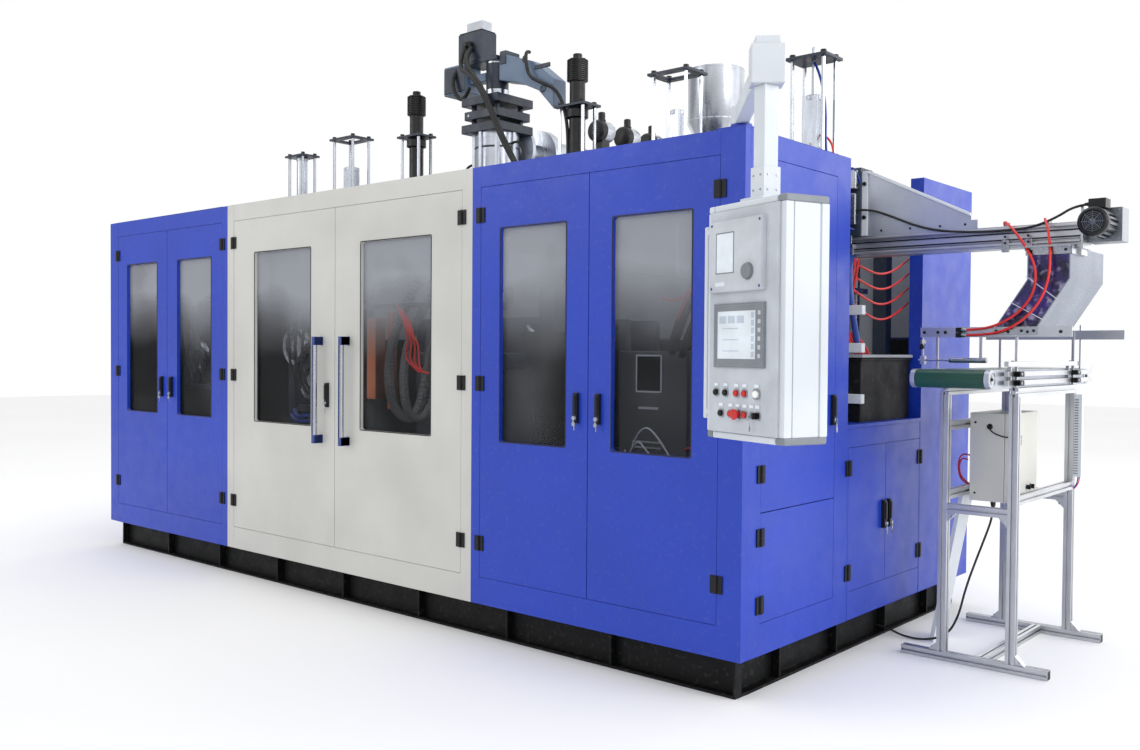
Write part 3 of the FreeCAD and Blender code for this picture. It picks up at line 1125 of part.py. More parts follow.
# ---------------------------------------------------------------- operator pendant
BUTTONS = (  # place across the panel, height over the case's foot, radius, kind
    ("black_button_1", -130, "row_high", "cap_radius", "push"), ("black_button_2", -74, "row_high",
                                                                 "cap_radius", "push"),
    ("red_button_1", -9, "row_high", "cap_radius", "push"), ("red_button_2", 38, "row_high", "cap_radius",
                                                             "push"),
    ("white_button", 106, "row_high", "14", "push"), ("black_button_3", -100, "row_low", "cap_radius",
                                                      "push"),
    ("red_button_3", -43, "row_low", "cap_radius", "push"), ("emergency_stop", 0, "row_low", "cap_radius",
                                                             "mushroom"),
    ("red_button_4", 40, "row_low", "cap_radius", "push"), ("key_switch", 79, "row_low", "cap_radius",
                                                            "turn"),
    ("mode_selector", 112, "row_low", "cap_radius", "turn"))


def pendant_node(label, parts):
    """A piece of the pendant, in the pendant's own turned frame."""
    node(label, parts, ("pendant_x", "pendant_y", "0"), Rotation(Vector(0, 0, 1), DIMS["pendant_turn"]))


def pendant():
    reach = "boom_length"
    low = "(boom_z - boom_tall / 2)"
    arm = fuse("boom", [
        bar("boom_hub", ("0", "0", low), "foot_radius", "boom_tall"),
        box("boom_tube", ("0", "-boom_wide / 2", low), (f"{reach} - 50", "boom_wide", "boom_tall")),
        box("boom_elbow", (f"{reach} - 50", "-60", "boom_z - 90"), ("100", "120", "140")),
        box("boom_cap", (f"{reach} - 40", "-45", "boom_z + 50"), ("80", "90", "30"))])
    node("pendant_arm", [arm], ("boom_x", "boom_y", "0"), Rotation(Vector(0, 0, 1), DIMS["boom_turn"]))
    front = "(-case_front)"
    high = "(case_low + case_tall)"
    case = box("case_shell", ("-case_left", f"{front} + panel_thick", "case_low"),
               ("case_wide", "case_deep - panel_thick", "case_tall"))
    panel = box("case_panel", ("edge_strip - case_left", front, "case_low + edge_strip"),
                ("case_wide - 2 * edge_strip", "panel_thick", "case_tall - 2 * edge_strip"))
    holes = []
    for label, x, height, size, kind in BUTTONS:
        if kind == "turn":
            boss = bar(label + "_boss", (x, f"{front} - button_proud - 0.3", f"case_low + {height}"),
                       size, "button_proud", "y")
            grip = box(label + "_grip",
                       (f"{x} - 3", f"{front} - button_proud - 16.3", f"case_low + {height} - 11"),
                       ("6", "17", "22"))
            pieces = [fuse(label + "_piece", [boss, grip])]
        else:
            holes.append(bar(label + "_hole", (x, f"{front} - 1", f"case_low + {height}"),
                             f"{size} + cap_clear", "hole_deep + 1", "y"))
            cap = bar(label + "_cap", (x, f"{front} - button_proud", f"case_low + {height}"),
                      size, "button_proud + 1", "y")
            pieces = [cap]
            if kind == "mushroom":
                head = bar(label + "_head", (x, f"{front} - button_proud - 14", f"case_low + {height}"),
                           "20", "15", "y")
                pieces = [fuse(label + "_piece", [cap, head])]
        pendant_node(label, pieces)
    tube = fuse("pendant_tube", [
        box("tube_run", ("-tube_side / 2", "-tube_side / 2", high),
            ("tube_side", "tube_side", f"boom_z - 90.3 - {high}")),
        box("tube_sleeve", ("-tube_side / 2 - 7", "-tube_side / 2 - 7", high),
            ("tube_side + 14", "tube_side + 14", "126")),
        box("tube_flange", ("-64", "-64", high), ("128", "128", "16"))])
    grip = [bar("grip_bar", ("-case_left - 58", "-60", "case_low + 66"), "11", "721")]
    grip += [box(f"grip_arm_{i}", ("-case_left - 58", "-71", f"case_low + {z}"), ("58", "22", "20"))
             for i, z in enumerate((82, 756))]
    controller = box("controller", ("-160", f"{front} - 18", "case_low + 531"), ("307", "18", "257"))
    touch = box("touch_panel", ("-142", f"{front} - 8", "case_low + 261"), ("293", "8", "229"))
    pendant_node("pendant_case", [case, cut("panel_drilled", panel, holes), tube, fuse("pendant_grip", grip),
                                  controller, touch])
    pendant_node("jog_dial", [bar("dial", ("70", f"{front} - 18 - 14.3", "case_low + 599"), "dial_radius",
                                  "14", "y", 24)])


# ---------------------------------------------------------------- hoses and cables
def cord(name, places, radius):
    """A round cord along straight runs joined by tangent arcs as large as the runs allow."""
    edges, radii, start = [], [], places[0]
    for before, here, after in zip(places, places[1:], places[2:]):
        into, out = (here - before), (after - here)
        turn = into.getAngle(out)
        short = 0.45 * min(into.Length, out.Length)
        bend = short / math.tan(turn / 2)
        radii.append(bend)
        into.normalize()
        out.normalize()
        first, last = here - into * short, here + out * short
        inward = (out - into).normalize()
        middle = here + inward * (bend / math.cos(turn / 2) - bend)
        edges.append(Part.LineSegment(start, first).toShape())
        edges.append(Part.Arc(first, middle, last).toShape())
        start = last
    edges.append(Part.LineSegment(start, places[-1]).toShape())
    path = Part.Wire(edges)
    across = Rotation(Vector(0, 0, 1), places[1] - places[0])
    corners = [places[0] + across.multVec(Vector(radius * math.cos(math.radians(a)),
                                                 radius * math.sin(math.radians(a)), 0))
               for a in range(0, 361, 60)]
    tube = path.makePipeShell([Part.makePolygon(corners)], True, False)
    obj = doc.addObject("Part::Feature", name)
    obj.Shape = tube
    print(f"{name}: length {path.Length:.0f}, least radius {min(radii):.0f}, "
          f"volume ratio {tube.Volume / (1.5 * math.sqrt(3) * radius ** 2 * path.Length):.4f}")
    return obj


def carried(name, route, start, end):
    """A chosen route, carried along with the two places that it joins."""
    shifts = []
    for mark, at, chosen in (("from", start, route[0]), ("to", end, route[-1])):
        spot = doc.addObject("Part::Vertex", f"{name}_{mark}")
        for prop, value in zip("XYZ", at):
            bind(spot, prop, value)
        spot.recompute()
        shifts.append(Vector(spot.X.Value, spot.Y.Value, spot.Z.Value) - Vector(*chosen))
    free = len(route) - 6
    share = [min(max((i - 3) / free, 0), 1) for i in range(len(route))]
    return [Vector(*p) + shifts[0] * (1 - t) + shifts[1] * t for p, t in zip(route, share)]


HOSE_RADIUS = 6
HOSE_A = [(3530, 159.6, 2203), (3530, 116, 2204), (3556, 60, 2214), (3622, 6, 2152), (3694, -44, 2066),
          (3744, -62, 1968), (3740, -62, 1856), (3676, -54, 1764), (3576, -46, 1702), (3470, -40, 1676),
          (3388.4, -40, 1676)]
HOSE_B = [(3728, 159.6, 2203), (3728, 116, 2204), (3742, 58, 2218), (3780, -6, 2150), (3804, -52, 2044),
          (3808, -68, 1930), (3774, -68, 1816), (3694, -62, 1722), (3586, -50, 1664), (3476, -42, 1650),
          (3388.4, -40, 1650)]
CABLE_RADIUS = 6
BEAM_CABLE = [(2770.4, 48, 2330), (2850, 48, 2328), (2960, 52, 2286), (3090, 60, 2226), (3230, 67, 2186),
              (3380, 69, 2172), (3530, 69, 2168), (3680, 67, 2172), (3800, 52, 2212), (3880, 44, 2258),
              (3946.6, 44, 2262)]
STAND_CABLE = [(3400, 400, 765), (3400, 400, 700), (3372, 372, 590), (3334, 330, 450), (3300, 290, 310),
               (3276, 268, 170), (3220, 262, 60), (3100, 264, 9), (2970, 266, 9), (2880, 267, 40),
               (2811, 267, 46)]


def cords():
    routes = {}
    for name, route, start, end in (
            ("hose_a", HOSE_A, ("chute_x + 142", "beam_y + beam_deep - 20.4", "beam_high + 13"),
             ("stop_x + 203.4", "front_y - bar_thick - 12", "bar_low + 36")),
            ("hose_b", HOSE_B, ("chute_x + 340", "beam_y + beam_deep - 20.4", "beam_high + 13"),
             ("stop_x + 203.4", "front_y - bar_thick - 12", "bar_low + 10")),
            ("beam_cable", BEAM_CABLE, ("beam_start + 70.4", "beam_y - 32", "beam_high + 140"),
             ("motor_x - 38.4", "beam_y - 36", "motor_z + cowl_radius + 24")),
            ("stand_cable", STAND_CABLE, ("leg_left + bar_side + 83", "400", "side_low - 55"),
             (f"{END} - 109", "267", "46"))):
        routes[name] = carried(name, route, start, end)
    node("air_hoses", [cord(name, routes[name], HOSE_RADIUS) for name in ("hose_a", "hose_b")])
    node("black_cables", [cord(name, routes[name], CABLE_RADIUS) for name in ("beam_cable", "stand_cable")])


def main():
    base_frame()
    covers()
    right_end()
    press_frame()
    pin_units()
    die_head()
    extruder()
    extruder_drive()
    hopper()
    clamps()
    takeoff()
    bar_outline()
    conveyor_stand()
    conveyor()
    pendant()
    cords()


main()
doc.recompute()
broken = []
for obj in doc.Objects:
    if "Invalid" in obj.State or "Error" in obj.State:
        broken.append(f"{obj.Name}: {obj.State}")
for obj in nodes:
    shape = obj.Shape
    if shape.isNull() or not shape.isValid() or not shape.Solids:
        broken.append(f"{obj.Label}: bad shape")
if broken:
    raise RuntimeError("failed objects: " + "; ".join(broken))
os.makedirs("parts", exist_ok=True)
for obj in nodes:
    obj.Shape.exportStep(f"parts/{obj.Label}.step")
    print(obj.Label, len(obj.Shape.Solids), obj.Shape.BoundBox)
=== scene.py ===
"""Finishes, fine detail, light and camera for the blow moulding machine."""
import json
import math

import bpy
from mathutils import Matrix, Vector

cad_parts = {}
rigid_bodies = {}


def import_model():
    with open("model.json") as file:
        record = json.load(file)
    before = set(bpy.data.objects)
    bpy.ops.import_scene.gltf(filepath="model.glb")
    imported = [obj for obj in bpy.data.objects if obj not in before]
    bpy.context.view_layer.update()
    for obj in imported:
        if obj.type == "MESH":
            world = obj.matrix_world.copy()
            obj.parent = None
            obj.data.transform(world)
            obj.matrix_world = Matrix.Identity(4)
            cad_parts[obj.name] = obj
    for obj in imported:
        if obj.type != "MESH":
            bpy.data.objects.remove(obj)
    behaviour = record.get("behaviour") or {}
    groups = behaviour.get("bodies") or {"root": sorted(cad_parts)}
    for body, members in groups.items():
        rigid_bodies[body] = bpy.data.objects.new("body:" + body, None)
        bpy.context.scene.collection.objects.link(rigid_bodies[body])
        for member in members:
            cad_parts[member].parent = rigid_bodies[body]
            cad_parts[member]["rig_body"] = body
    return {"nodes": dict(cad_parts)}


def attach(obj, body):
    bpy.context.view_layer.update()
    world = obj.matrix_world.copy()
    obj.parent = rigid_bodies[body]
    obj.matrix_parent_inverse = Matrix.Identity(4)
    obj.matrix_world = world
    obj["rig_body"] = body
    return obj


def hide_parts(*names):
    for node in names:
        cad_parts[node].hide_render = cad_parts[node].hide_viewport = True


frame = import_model()
NODES = frame["nodes"]
MM = 0.001
FRONT, BACK, RIGHT, LEFT, UP, DOWN = (0, -1, 0), (0, 1, 0), (1, 0, 0), (-1, 0, 0), (0, 0, 1), (0, 0, -1)
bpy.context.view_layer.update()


# ---------- bench work
def clear():
    """Nothing selected, object mode."""
    if bpy.context.object and bpy.context.object.mode != "OBJECT":
        bpy.ops.object.mode_set(mode="OBJECT")
    bpy.ops.object.select_all(action="DESELECT")


def pick(piece):
    clear()
    piece.select_set(True)
    bpy.context.view_layer.objects.active = piece


def open_mesh(piece, everything=True):
    pick(piece)
    bpy.ops.object.mode_set(mode="EDIT")
    bpy.ops.mesh.select_mode(type="FACE")
    bpy.ops.mesh.select_all(action="SELECT" if everything else "DESELECT")


def close_mesh():
    bpy.ops.object.mode_set(mode="OBJECT")


def settle(piece):
    """Moves the object's place into its mesh."""
    pick(piece)
    bpy.ops.object.transform_apply(location=True, rotation=True, scale=True)
    return piece


def block(low, high):
    """A box between two corners, in millimetres."""
    low, high = Vector(low) * MM, Vector(high) * MM
    clear()
    bpy.ops.mesh.primitive_cube_add(size=1, location=(low + high) / 2)
    bpy.context.object.dimensions = high - low
    return settle(bpy.context.object)


def turn_to(direction):
    return Vector(UP).rotation_difference(Vector(direction)).to_euler()


def turned(steps, at, along=UP, sides=48):
    """A lathe piece: (height, radius) steps in millimetres from one end to the other."""
    clear()
    bpy.ops.mesh.primitive_circle_add(vertices=sides, radius=steps[0][1] * MM, fill_type="NGON",
                                      location=(0, 0, steps[0][0] * MM))
    piece = bpy.context.object
    settle(piece)
    open_mesh(piece)
    for (z0, r0), (z1, r1) in zip(steps, steps[1:]):
        bpy.ops.mesh.extrude_region_move(TRANSFORM_OT_translate={"value": (0, 0, (z1 - z0) * MM)})
        if r1 != r0:
            bpy.ops.transform.resize(value=(r1 / r0, r1 / r0, 1), center_override=(0, 0, z1 * MM))
    bpy.ops.mesh.select_all(action="SELECT")
    bpy.ops.mesh.normals_make_consistent(inside=False)
    close_mesh()
    piece.rotation_euler = turn_to(along)
    piece.location = Vector(at) * MM
    return settle(piece)


def skin(piece):
    """The area that a piece shows, triangle by triangle."""
    piece.data.calc_loop_triangles()
    return sum(triangle.area for triangle in piece.data.loop_triangles)


NARROWER = (1, 0.7, 0.4)
MAY_GROW = 1.02


def soften(piece, width, segments=2, angle=35):
    """Breaks the sharp edges and shades the rounds smooth.

    A bevel that fills an opening across makes the skin grow, and gives way to a narrower one.
    """
    pick(piece)
    bpy.ops.object.shade_smooth_by_angle(angle=math.radians(angle))
    sharp, area = piece.data, skin(piece)
    for share in NARROWER if width else ():
        piece.data = sharp.copy()
        edge = piece.modifiers.new("edge", "BEVEL")
        edge.width = width * share * MM
        edge.segments = segments
        edge.limit_method = "ANGLE"
        edge.angle_limit = math.radians(angle)
        edge.use_clamp_overlap = True
        edge.harden_normals = True
        bpy.ops.object.modifier_apply(modifier=edge.name)
        if skin(piece) < area * MAY_GROW:
            return piece
        piece.data = sharp
    return piece


def join(pieces):
    if len(pieces) == 1:
        return pieces[0]
    clear()
    for piece in pieces:
        piece.select_set(True)
    bpy.context.view_layer.objects.active = pieces[0]
    bpy.ops.object.join()
    return pieces[0]


def stand(piece, at, turn=None):
    """Stands a piece drawn flat so that it faces turn degrees round from the front, and puts it in place."""
    if turn is not None:
        piece.rotation_euler = (math.pi / 2, 0, math.radians(turn))
    piece.location = Vector(at) * MM
    return settle(piece)


def raise_face(rise):
    if rise:
        bpy.ops.mesh.extrude_region_move(TRANSFORM_OT_translate={"value": (0, 0, rise * MM)})


def finish_shell():
    bpy.ops.mesh.select_all(action="SELECT")
    bpy.ops.mesh.normals_make_consistent(inside=False)
    close_mesh()


def open_sheet(wide, tall, radius):
    """A flat sheet with rounded corners, left open with its face selected."""
    clear()
    bpy.ops.mesh.primitive_plane_add(size=1)
    piece = bpy.context.object
    piece.scale = (wide * MM, tall * MM, 1)
    settle(piece)
    open_mesh(piece)
    if radius:
        bpy.ops.mesh.bevel(offset=radius * MM, segments=5, affect="VERTICES")
        bpy.ops.mesh.select_all(action="SELECT")
    return piece


def plate(wide, tall, thick, radius=0, steps=(), at=(0, 0, 0), turn=None):
    """A plate with rounded corners; each step insets its face and raises or sinks it."""
    piece = open_sheet(wide, tall, radius)
    raise_face(thick)
    for inset, rise in steps:
        bpy.ops.mesh.inset(thickness=inset * MM)
        raise_face(rise)
    finish_shell()
    return stand(piece, at, turn)


def surround(wide, tall, rim, thick, radius, at, turn=None):
    """A flat rim round an opening."""
    piece = open_sheet(wide, tall, radius)
    bpy.ops.mesh.inset(thickness=rim * MM)
    bpy.ops.mesh.delete(type="FACE")
    bpy.ops.mesh.select_all(action="SELECT")
    raise_face(thick)
    finish_shell()
    return stand(piece, at, turn)


def outline(points, thick, at=(0, 0, 0), turn=None):
    """A plate cut to an outline of (across, up) points, in millimetres."""
    clear()
    bpy.ops.mesh.primitive_circle_add(vertices=len(points), radius=1, fill_type="NGON")
    piece = bpy.context.object
    for vertex, (across, up) in zip(piece.data.vertices, points):
        vertex.co = (across * MM, up * MM, 0)
    open_mesh(piece)
    raise_face(thick)
    finish_shell()
    return stand(piece, at, turn)


def strand(name, points, depth, sides, steps):
    """A round curve along a smooth line; points and depth are in metres."""
    data = bpy.data.curves.new(name, "CURVE")
    data.dimensions = "3D"
    data.bevel_depth = depth
    data.bevel_resolution = sides
    data.resolution_u = steps
    data.use_fill_caps = True
    spline = data.splines.new("NURBS")
    spline.points.add(len(points) - 1)
    for knot, point in zip(spline.points, points):
        knot.co = (*point, 1)
    spline.order_u = 3
    spline.use_endpoint_u = True
    piece = bpy.data.objects.new(name, data)
    bpy.context.collection.objects.link(piece)
    return piece


def pipe(points, radius, sides=2, steps=8):
    """A fixed pipe or hose, as a mesh."""
    clear()
    piece = strand("pipe", [Vector(point) * MM for point in points], radius * MM, sides, steps)
    pick(piece)
    bpy.ops.object.convert(target="MESH")
    piece = bpy.context.object
    pick(piece)
    bpy.ops.object.shade_smooth_by_angle(angle=math.radians(50))
    return piece


def ribbed(points, radius, steps=26):
    """A corrugated hose: every second pair of rings drawn in."""
    piece = pipe(points, radius, 2, steps)
    around, depth = 8, 0.18
    open_mesh(piece, False)
    bpy.ops.mesh.select_mode(type="VERT")
    close_mesh()
    for vertex in piece.data.vertices:
        vertex.select = (vertex.index // around) % 2 == 0
    bpy.ops.object.mode_set(mode="EDIT")
    bpy.ops.transform.shrink_fatten(value=-radius * depth * MM)
    bpy.ops.mesh.select_mode(type="FACE")
    close_mesh()
    return piece


def screw(at, along, radius=5, height=4):
    """A socket cap screw."""
    return turned([(0, radius), (height * 0.8, radius), (height, radius * 0.86), (height, radius * 0.5),
                   (height * 0.35, radius * 0.44)], at, along, sides=12)


def fit(piece, name, finish, body, slot=None, stands_for=None):
    """Names a piece, gives it its finish and fastens it to what it moves with."""
    piece.name = name
    piece.data.name = name
    piece.data.materials.clear()
    piece.data.materials.append(FINISHES[finish])
    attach(piece, body)
    slot = slot or SLOTS.get(finish)
    if stands_for:
        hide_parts(stands_for)
    return piece


# ---------- finishes
FINISHES = {}
SLOTS = {
    "blue": "blue_paint", "white": "white_paint", "black": "black_paint", "grey": "machine_grey",
    "plated": "plated_steel", "bare": "bare_steel", "profile": "aluminium_profile", "motor": "motor_black",
    "belt": "green_belt", "pale": "light_paint", "red_hose": "red_hose", "rubber": "black_rubber",
    "plastic": "black_plastic", "red": "red_plastic", "lamp": "white_plastic", "silver_face": "light_paint",
    "brushed": "bare_steel", "sheet": "bare_steel", "fins": "motor_black", "slate": "machine_grey",
    "light": "light_paint", "dark_slate": "machine_grey", "graphite": "machine_grey", "jacket": "plated_steel",
}


def colour(red, green, blue):
    """A screen colour, 0 to 255, as light."""
    return tuple(((c / 255 + 0.055) / 1.055) ** 2.4 if c > 10 else c / 255 / 12.92
                 for c in (red, green, blue)) + (1,)


def add_node(tree, kind, **values):
    """A shader node with its inputs set; an underscore stands for a space."""
    node = tree.nodes.new(f"ShaderNode{kind}")
    for key, value in values.items():
        node.inputs[key.replace("_", " ")].default_value = value
    return node


class Mix:
    """The node bench for one finish."""

    def __init__(self, name):
        self.material = bpy.data.materials.new(name)
        self.material.use_nodes = True
        self.tree = self.material.node_tree
        self.shader = self.tree.nodes["Principled BSDF"]
        self.place = self.tree.nodes.new("ShaderNodeTexCoord").outputs["Object"]
        FINISHES[name] = self.material

    def set(self, **values):
        for key, value in values.items():
            self.shader.inputs[key.replace("_", " ")].default_value = value
        return self

    def link(self, out, socket):
        self.tree.links.new(out, socket)

    def add(self, kind, **values):
        return add_node(self.tree, kind, **values)

    def noise(self, scale, detail=3, stretch=None):
        node = self.add("TexNoise", Scale=scale, Detail=detail)
        spot = self.place
        if stretch:
            mapping = self.add("Mapping", Scale=stretch)
            self.link(self.place, mapping.inputs["Vector"])
            spot = mapping.outputs["Vector"]
        self.link(spot, node.inputs["Vector"])
        return node.outputs["Fac"]

    def ramp(self, out, low, high, start=0.35, end=0.65):
        node = self.add("ValToRGB")
        node.color_ramp.elements[0].position = start
        node.color_ramp.elements[0].color = low
        node.color_ramp.elements[1].position = end
        node.color_ramp.elements[1].color = high
        self.link(out, node.inputs["Fac"])
        return node.outputs["Color"]

    def blend(self, amount, under, over):
        node = self.add("Mix")
        node.data_type = "RGBA"
        for value, socket in ((amount, node.inputs[0]), (under, node.inputs[6]), (over, node.inputs[7])):
            if isinstance(value, (tuple, float)):
                socket.default_value = value
            else:
                self.link(value, socket)
        return node.outputs[2]

    def spread(self, out, low, high, start=0.3, end=0.7):
        node = self.add("MapRange", From_Min=start, From_Max=end, To_Min=low, To_Max=high)
        self.link(out, node.inputs["Value"])
        return node.outputs["Result"]

    def rough(self, low, high, scale=9):
        self.link(self.spread(self.noise(scale), low, high), self.shader.inputs["Roughness"])
        return self

    def bump(self, out, depth, strength=0.5):
        node = self.add("Bump", Strength=strength, Distance=depth)
        self.link(out, node.inputs["Height"])
        self.link(node.outputs["Normal"], self.shader.inputs["Normal"])
        return self

    def paint(self, out):
        self.link(out, self.shader.inputs["Base Color"])
        return self


def shade(tone, factor):
    return tuple(min(1, c * factor) for c in tone[:3]) + (1,)


def sprayed(name, tone, rough=(0.32, 0.46), peel=0.00025, dust=0.05):
    """Sprayed paint: faint orange peel, soft drift of tone and a little dust."""
    mix, tone = Mix(name), colour(*tone)
    drift = mix.ramp(mix.noise(1.6, 4), shade(tone, 0.93), shade(tone, 1.06))
    specks = mix.ramp(mix.noise(38, 6), (0, 0, 0, 1), (dust, dust, dust, 1), 0.56, 0.8)
    mix.paint(mix.blend(specks, drift, colour(196, 196, 190)))
    mix.rough(*rough).bump(mix.noise(420, 2), peel, 0.35)
    return mix


def metal(name, tone, rough=(0.25, 0.42), grain=(1, 1, 1), scale=90, depth=0.0001):
    """Bare or plated metal, with its grain drawn out along one way."""
    mix, tone = Mix(name), colour(*tone)
    mix.set(Metallic=1.0)
    mix.paint(mix.ramp(mix.noise(5, 4), shade(tone, 0.86), tone))
    lines = mix.noise(scale, 5, grain)
    mix.link(mix.spread(lines, *rough), mix.shader.inputs["Roughness"])
    return mix.bump(lines, depth, 0.3)


def moulded(name, tone, rough=(0.4, 0.55), grain=650, depth=0.00012):
    """Moulded plastic or rubber with a fine sparked grain."""
    mix, tone = Mix(name), colour(*tone)
    mix.paint(mix.ramp(mix.noise(7, 4), shade(tone, 0.88), shade(tone, 1.08)))
    return mix.rough(*rough, 22).bump(mix.noise(grain, 2), depth, 0.4)


# The painted reflection on the window panes: heights in metres where it starts and where it is full, and the pane's
# alpha at the bottom and at the top.
REFLECTION_BAND_STARTS, REFLECTION_BAND_FULL = 1.5, 2.0
CLEAREST, REFLECTION_BAND_ALPHA = 0.14, 0.56


def glass(name, low, high, rough=0.03):
    """A window pane: clear and dark below, milky and pale above, where a reflection of light is painted in."""
    mix = Mix(name)
    parts = mix.add("SeparateXYZ")
    mix.link(mix.place, parts.inputs["Vector"])
    height = mix.spread(parts.outputs["Z"], 0.0, 1.0, REFLECTION_BAND_STARTS, REFLECTION_BAND_FULL)
    painted_reflection = mix.add("Math")
    painted_reflection.operation = "MULTIPLY_ADD"
    mix.link(mix.spread(mix.noise(1.1, 3), -0.5, 0.5), painted_reflection.inputs[0])
    painted_reflection.inputs[1].default_value = 0.5
    mix.link(height, painted_reflection.inputs[2])
    # Painted reflection: the colour goes from the dark low tone to the pale high tone, and the alpha rises with it,
    # upwards with a soft noise edge.
    mix.paint(mix.ramp(painted_reflection.outputs["Value"], colour(*low), colour(*high), 0.05, 0.95))
    mix.link(mix.spread(painted_reflection.outputs["Value"], CLEAREST, REFLECTION_BAND_ALPHA, 0.05, 0.95), mix.shader.inputs["Alpha"])
    mix.link(mix.spread(mix.noise(2.2, 2), rough, rough * 1.8), mix.shader.inputs["Roughness"])
    return mix.set(IOR=1.5)


sprayed("blue", (12, 54, 172))
sprayed("white", (190, 190, 186), dust=0.03)
sprayed("black", (7, 8, 9), rough=(0.45, 0.62), dust=0.06).set(Specular_IOR_Level=0.2)
sprayed("grey", (88, 92, 100), rough=(0.38, 0.55))
sprayed("pale", (203, 209, 216), dust=0.02)
sprayed("steel_dark_paint", (40, 50, 66), rough=(0.35, 0.5))
metal("plated", (178, 182, 190), rough=(0.16, 0.3))
metal("bare", (150, 155, 163), rough=(0.28, 0.46), grain=(1, 1, 8), scale=60)
metal("profile", (198, 200, 204), rough=(0.3, 0.42), grain=(1, 1, 0.05), scale=300)
metal("copper", (190, 112, 74), rough=(0.3, 0.5))
moulded("motor", (20, 21, 24), rough=(0.3, 0.46)).set(Specular_IOR_Level=0.35)
moulded("belt", (6, 66, 52), rough=(0.3, 0.45), grain=900)
moulded("red_hose", (214, 40, 34), rough=(0.28, 0.42), grain=300)
moulded("rubber", (20, 20, 21), rough=(0.5, 0.7))
moulded("plastic", (14, 15, 17), rough=(0.36, 0.52)).set(Specular_IOR_Level=0.3)
moulded("red", (196, 30, 28), rough=(0.22, 0.34))
moulded("lamp", (240, 244, 240), rough=(0.15, 0.25))
moulded("grey_hose", (96, 98, 102), rough=(0.4, 0.6))
moulded("blue_cap", (38, 62, 130), rough=(0.35, 0.5))
moulded("panel_face", (184, 190, 198), rough=(0.42, 0.55))
moulded("controller", (122, 128, 136), rough=(0.38, 0.5))
moulded("screen", (222, 230, 238), rough=(0.08, 0.16), grain=50, depth=0.00001)
film = Mix("film")
film.paint(film.blend(film.ramp(film.noise(30, 12), (0, 0, 0, 1), (0.8, 0.8, 0.8, 1), 0.54, 0.74),
                      film.ramp(film.noise(8, 6), colour(18, 14, 44), colour(48, 36, 104), 0.4, 0.62),
                      colour(176, 172, 206)))
film.rough(0.12, 0.5, 30).bump(film.noise(40, 6), 0.002)
moulded("silver_face", (190, 195, 203), rough=(0.3, 0.42), grain=400)
moulded("faint", (186, 198, 212), rough=(0.1, 0.2), grain=50, depth=0.00001)
moulded("blue_wire", (24, 62, 150), rough=(0.35, 0.5))
sprayed("light", (206, 206, 200), dust=0.02)
sprayed("dark_slate", (24, 36, 54), rough=(0.34, 0.5))
sprayed("graphite", (74, 76, 80), rough=(0.4, 0.55))
# Pale grey, also used as painted light on the upper inner linings, and near black, also used as painted shade on the
# lower inner linings and floor sheets.
sprayed("pale_grey_and_painted_light", (150, 154, 162), rough=(0.5, 0.7))
sprayed("near_black_and_painted_shade", (15, 16, 18), rough=(0.5, 0.7), dust=0.04).set(Specular_IOR_Level=0.2)
metal("jacket", (188, 193, 203), rough=(0.2, 0.4), grain=(1, 1, 0.1), scale=60)
metal("sheet", (148, 154, 166), rough=(0.4, 0.6), grain=(1, 1, 14), scale=26, depth=0.00015)
metal("brushed", (190, 195, 205), rough=(0.34, 0.55), grain=(1, 1, 14), scale=26, depth=0.00015)
metal("fins", (96, 100, 108), rough=(0.28, 0.45))
sprayed("slate", (92, 112, 138), rough=(0.35, 0.5))
# The pane's pale upper tone is a painted reflection.
glass("pane", (30, 33, 36), (168, 172, 180))


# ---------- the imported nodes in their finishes
def solids(node):
    """The node's separate solids as clean meshes: seams merged, flat faces made whole."""
    clear()
    twin = NODES[node].copy()
    twin.data = twin.data.copy()
    twin.parent = None
    for key in list(twin.keys()):
        del twin[key]
    bpy.context.collection.objects.link(twin)
    pick(twin)
    bpy.ops.mesh.customdata_custom_splitnormals_clear()
    open_mesh(twin)
    bpy.ops.mesh.remove_doubles(threshold=0.00001)
    bpy.ops.mesh.dissolve_limited(angle_limit=math.radians(0.5))
    bpy.ops.mesh.separate(type="LOOSE")
    close_mesh()
    return list(bpy.context.selected_objects)


def corners(piece):
    """A piece's lowest and highest corner, in millimetres."""
    points = [v.co for v in piece.data.vertices]
    return (Vector([min(p[i] for p in points) for i in range(3)]) / MM,
            Vector([max(p[i] for p in points) for i in range(3)]) / MM)


BODY_OF = {name: obj["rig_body"] for name, obj in NODES.items()}


def dress(node, kind, edge=1.2, leave_out=()):
    """Gives each solid of a node its finish, which kind names or kind(low, high) picks by its corners.

    Solids that a finer piece stands for are left out.
    """
    sorted_by = {}
    for piece in solids(node):
        finish = kind(*corners(piece)) if callable(kind) else kind
        if finish in leave_out:
            bpy.data.objects.remove(piece)
            continue
        sorted_by.setdefault(finish, []).append(piece)
    for finish, group in sorted_by.items():
        whole = join(group)
        if finish == "pane":
            pick(whole)
            bpy.ops.object.shade_flat()
        else:
            soften(whole, edge)
        fit(whole, f"{node}_{finish}", finish, BODY_OF[node], stands_for=node)


def door_kind(paint):
    """A door's solids by size: hinges 80 high, locks 150, handle ends 50, handle tubes 560, panes thin."""
    def kind(low, high):
        size = high - low
        if abs(size.z - 80) < 1 and size.x < 60 and size.y < 60:
            return "plastic"
        if abs(size.z - 150) < 1:
            return "motor"
        if abs(size.z - 50) < 1:
            return "blue_cap"
        if abs(size.z - 560) < 1:
            return "plated"
        if size.y < 6 and size.x > 300:
            return "pane"
        return paint
    return kind


def cover_kind(paint):
    """A cover's solids: hinge halves 80 high, and the rest painted."""
    def kind(low, high):
        size = high - low
        if abs(size.z - 80) < 1 and size.x < 60 and size.y < 60:
            return "plastic"
        return paint
    return kind


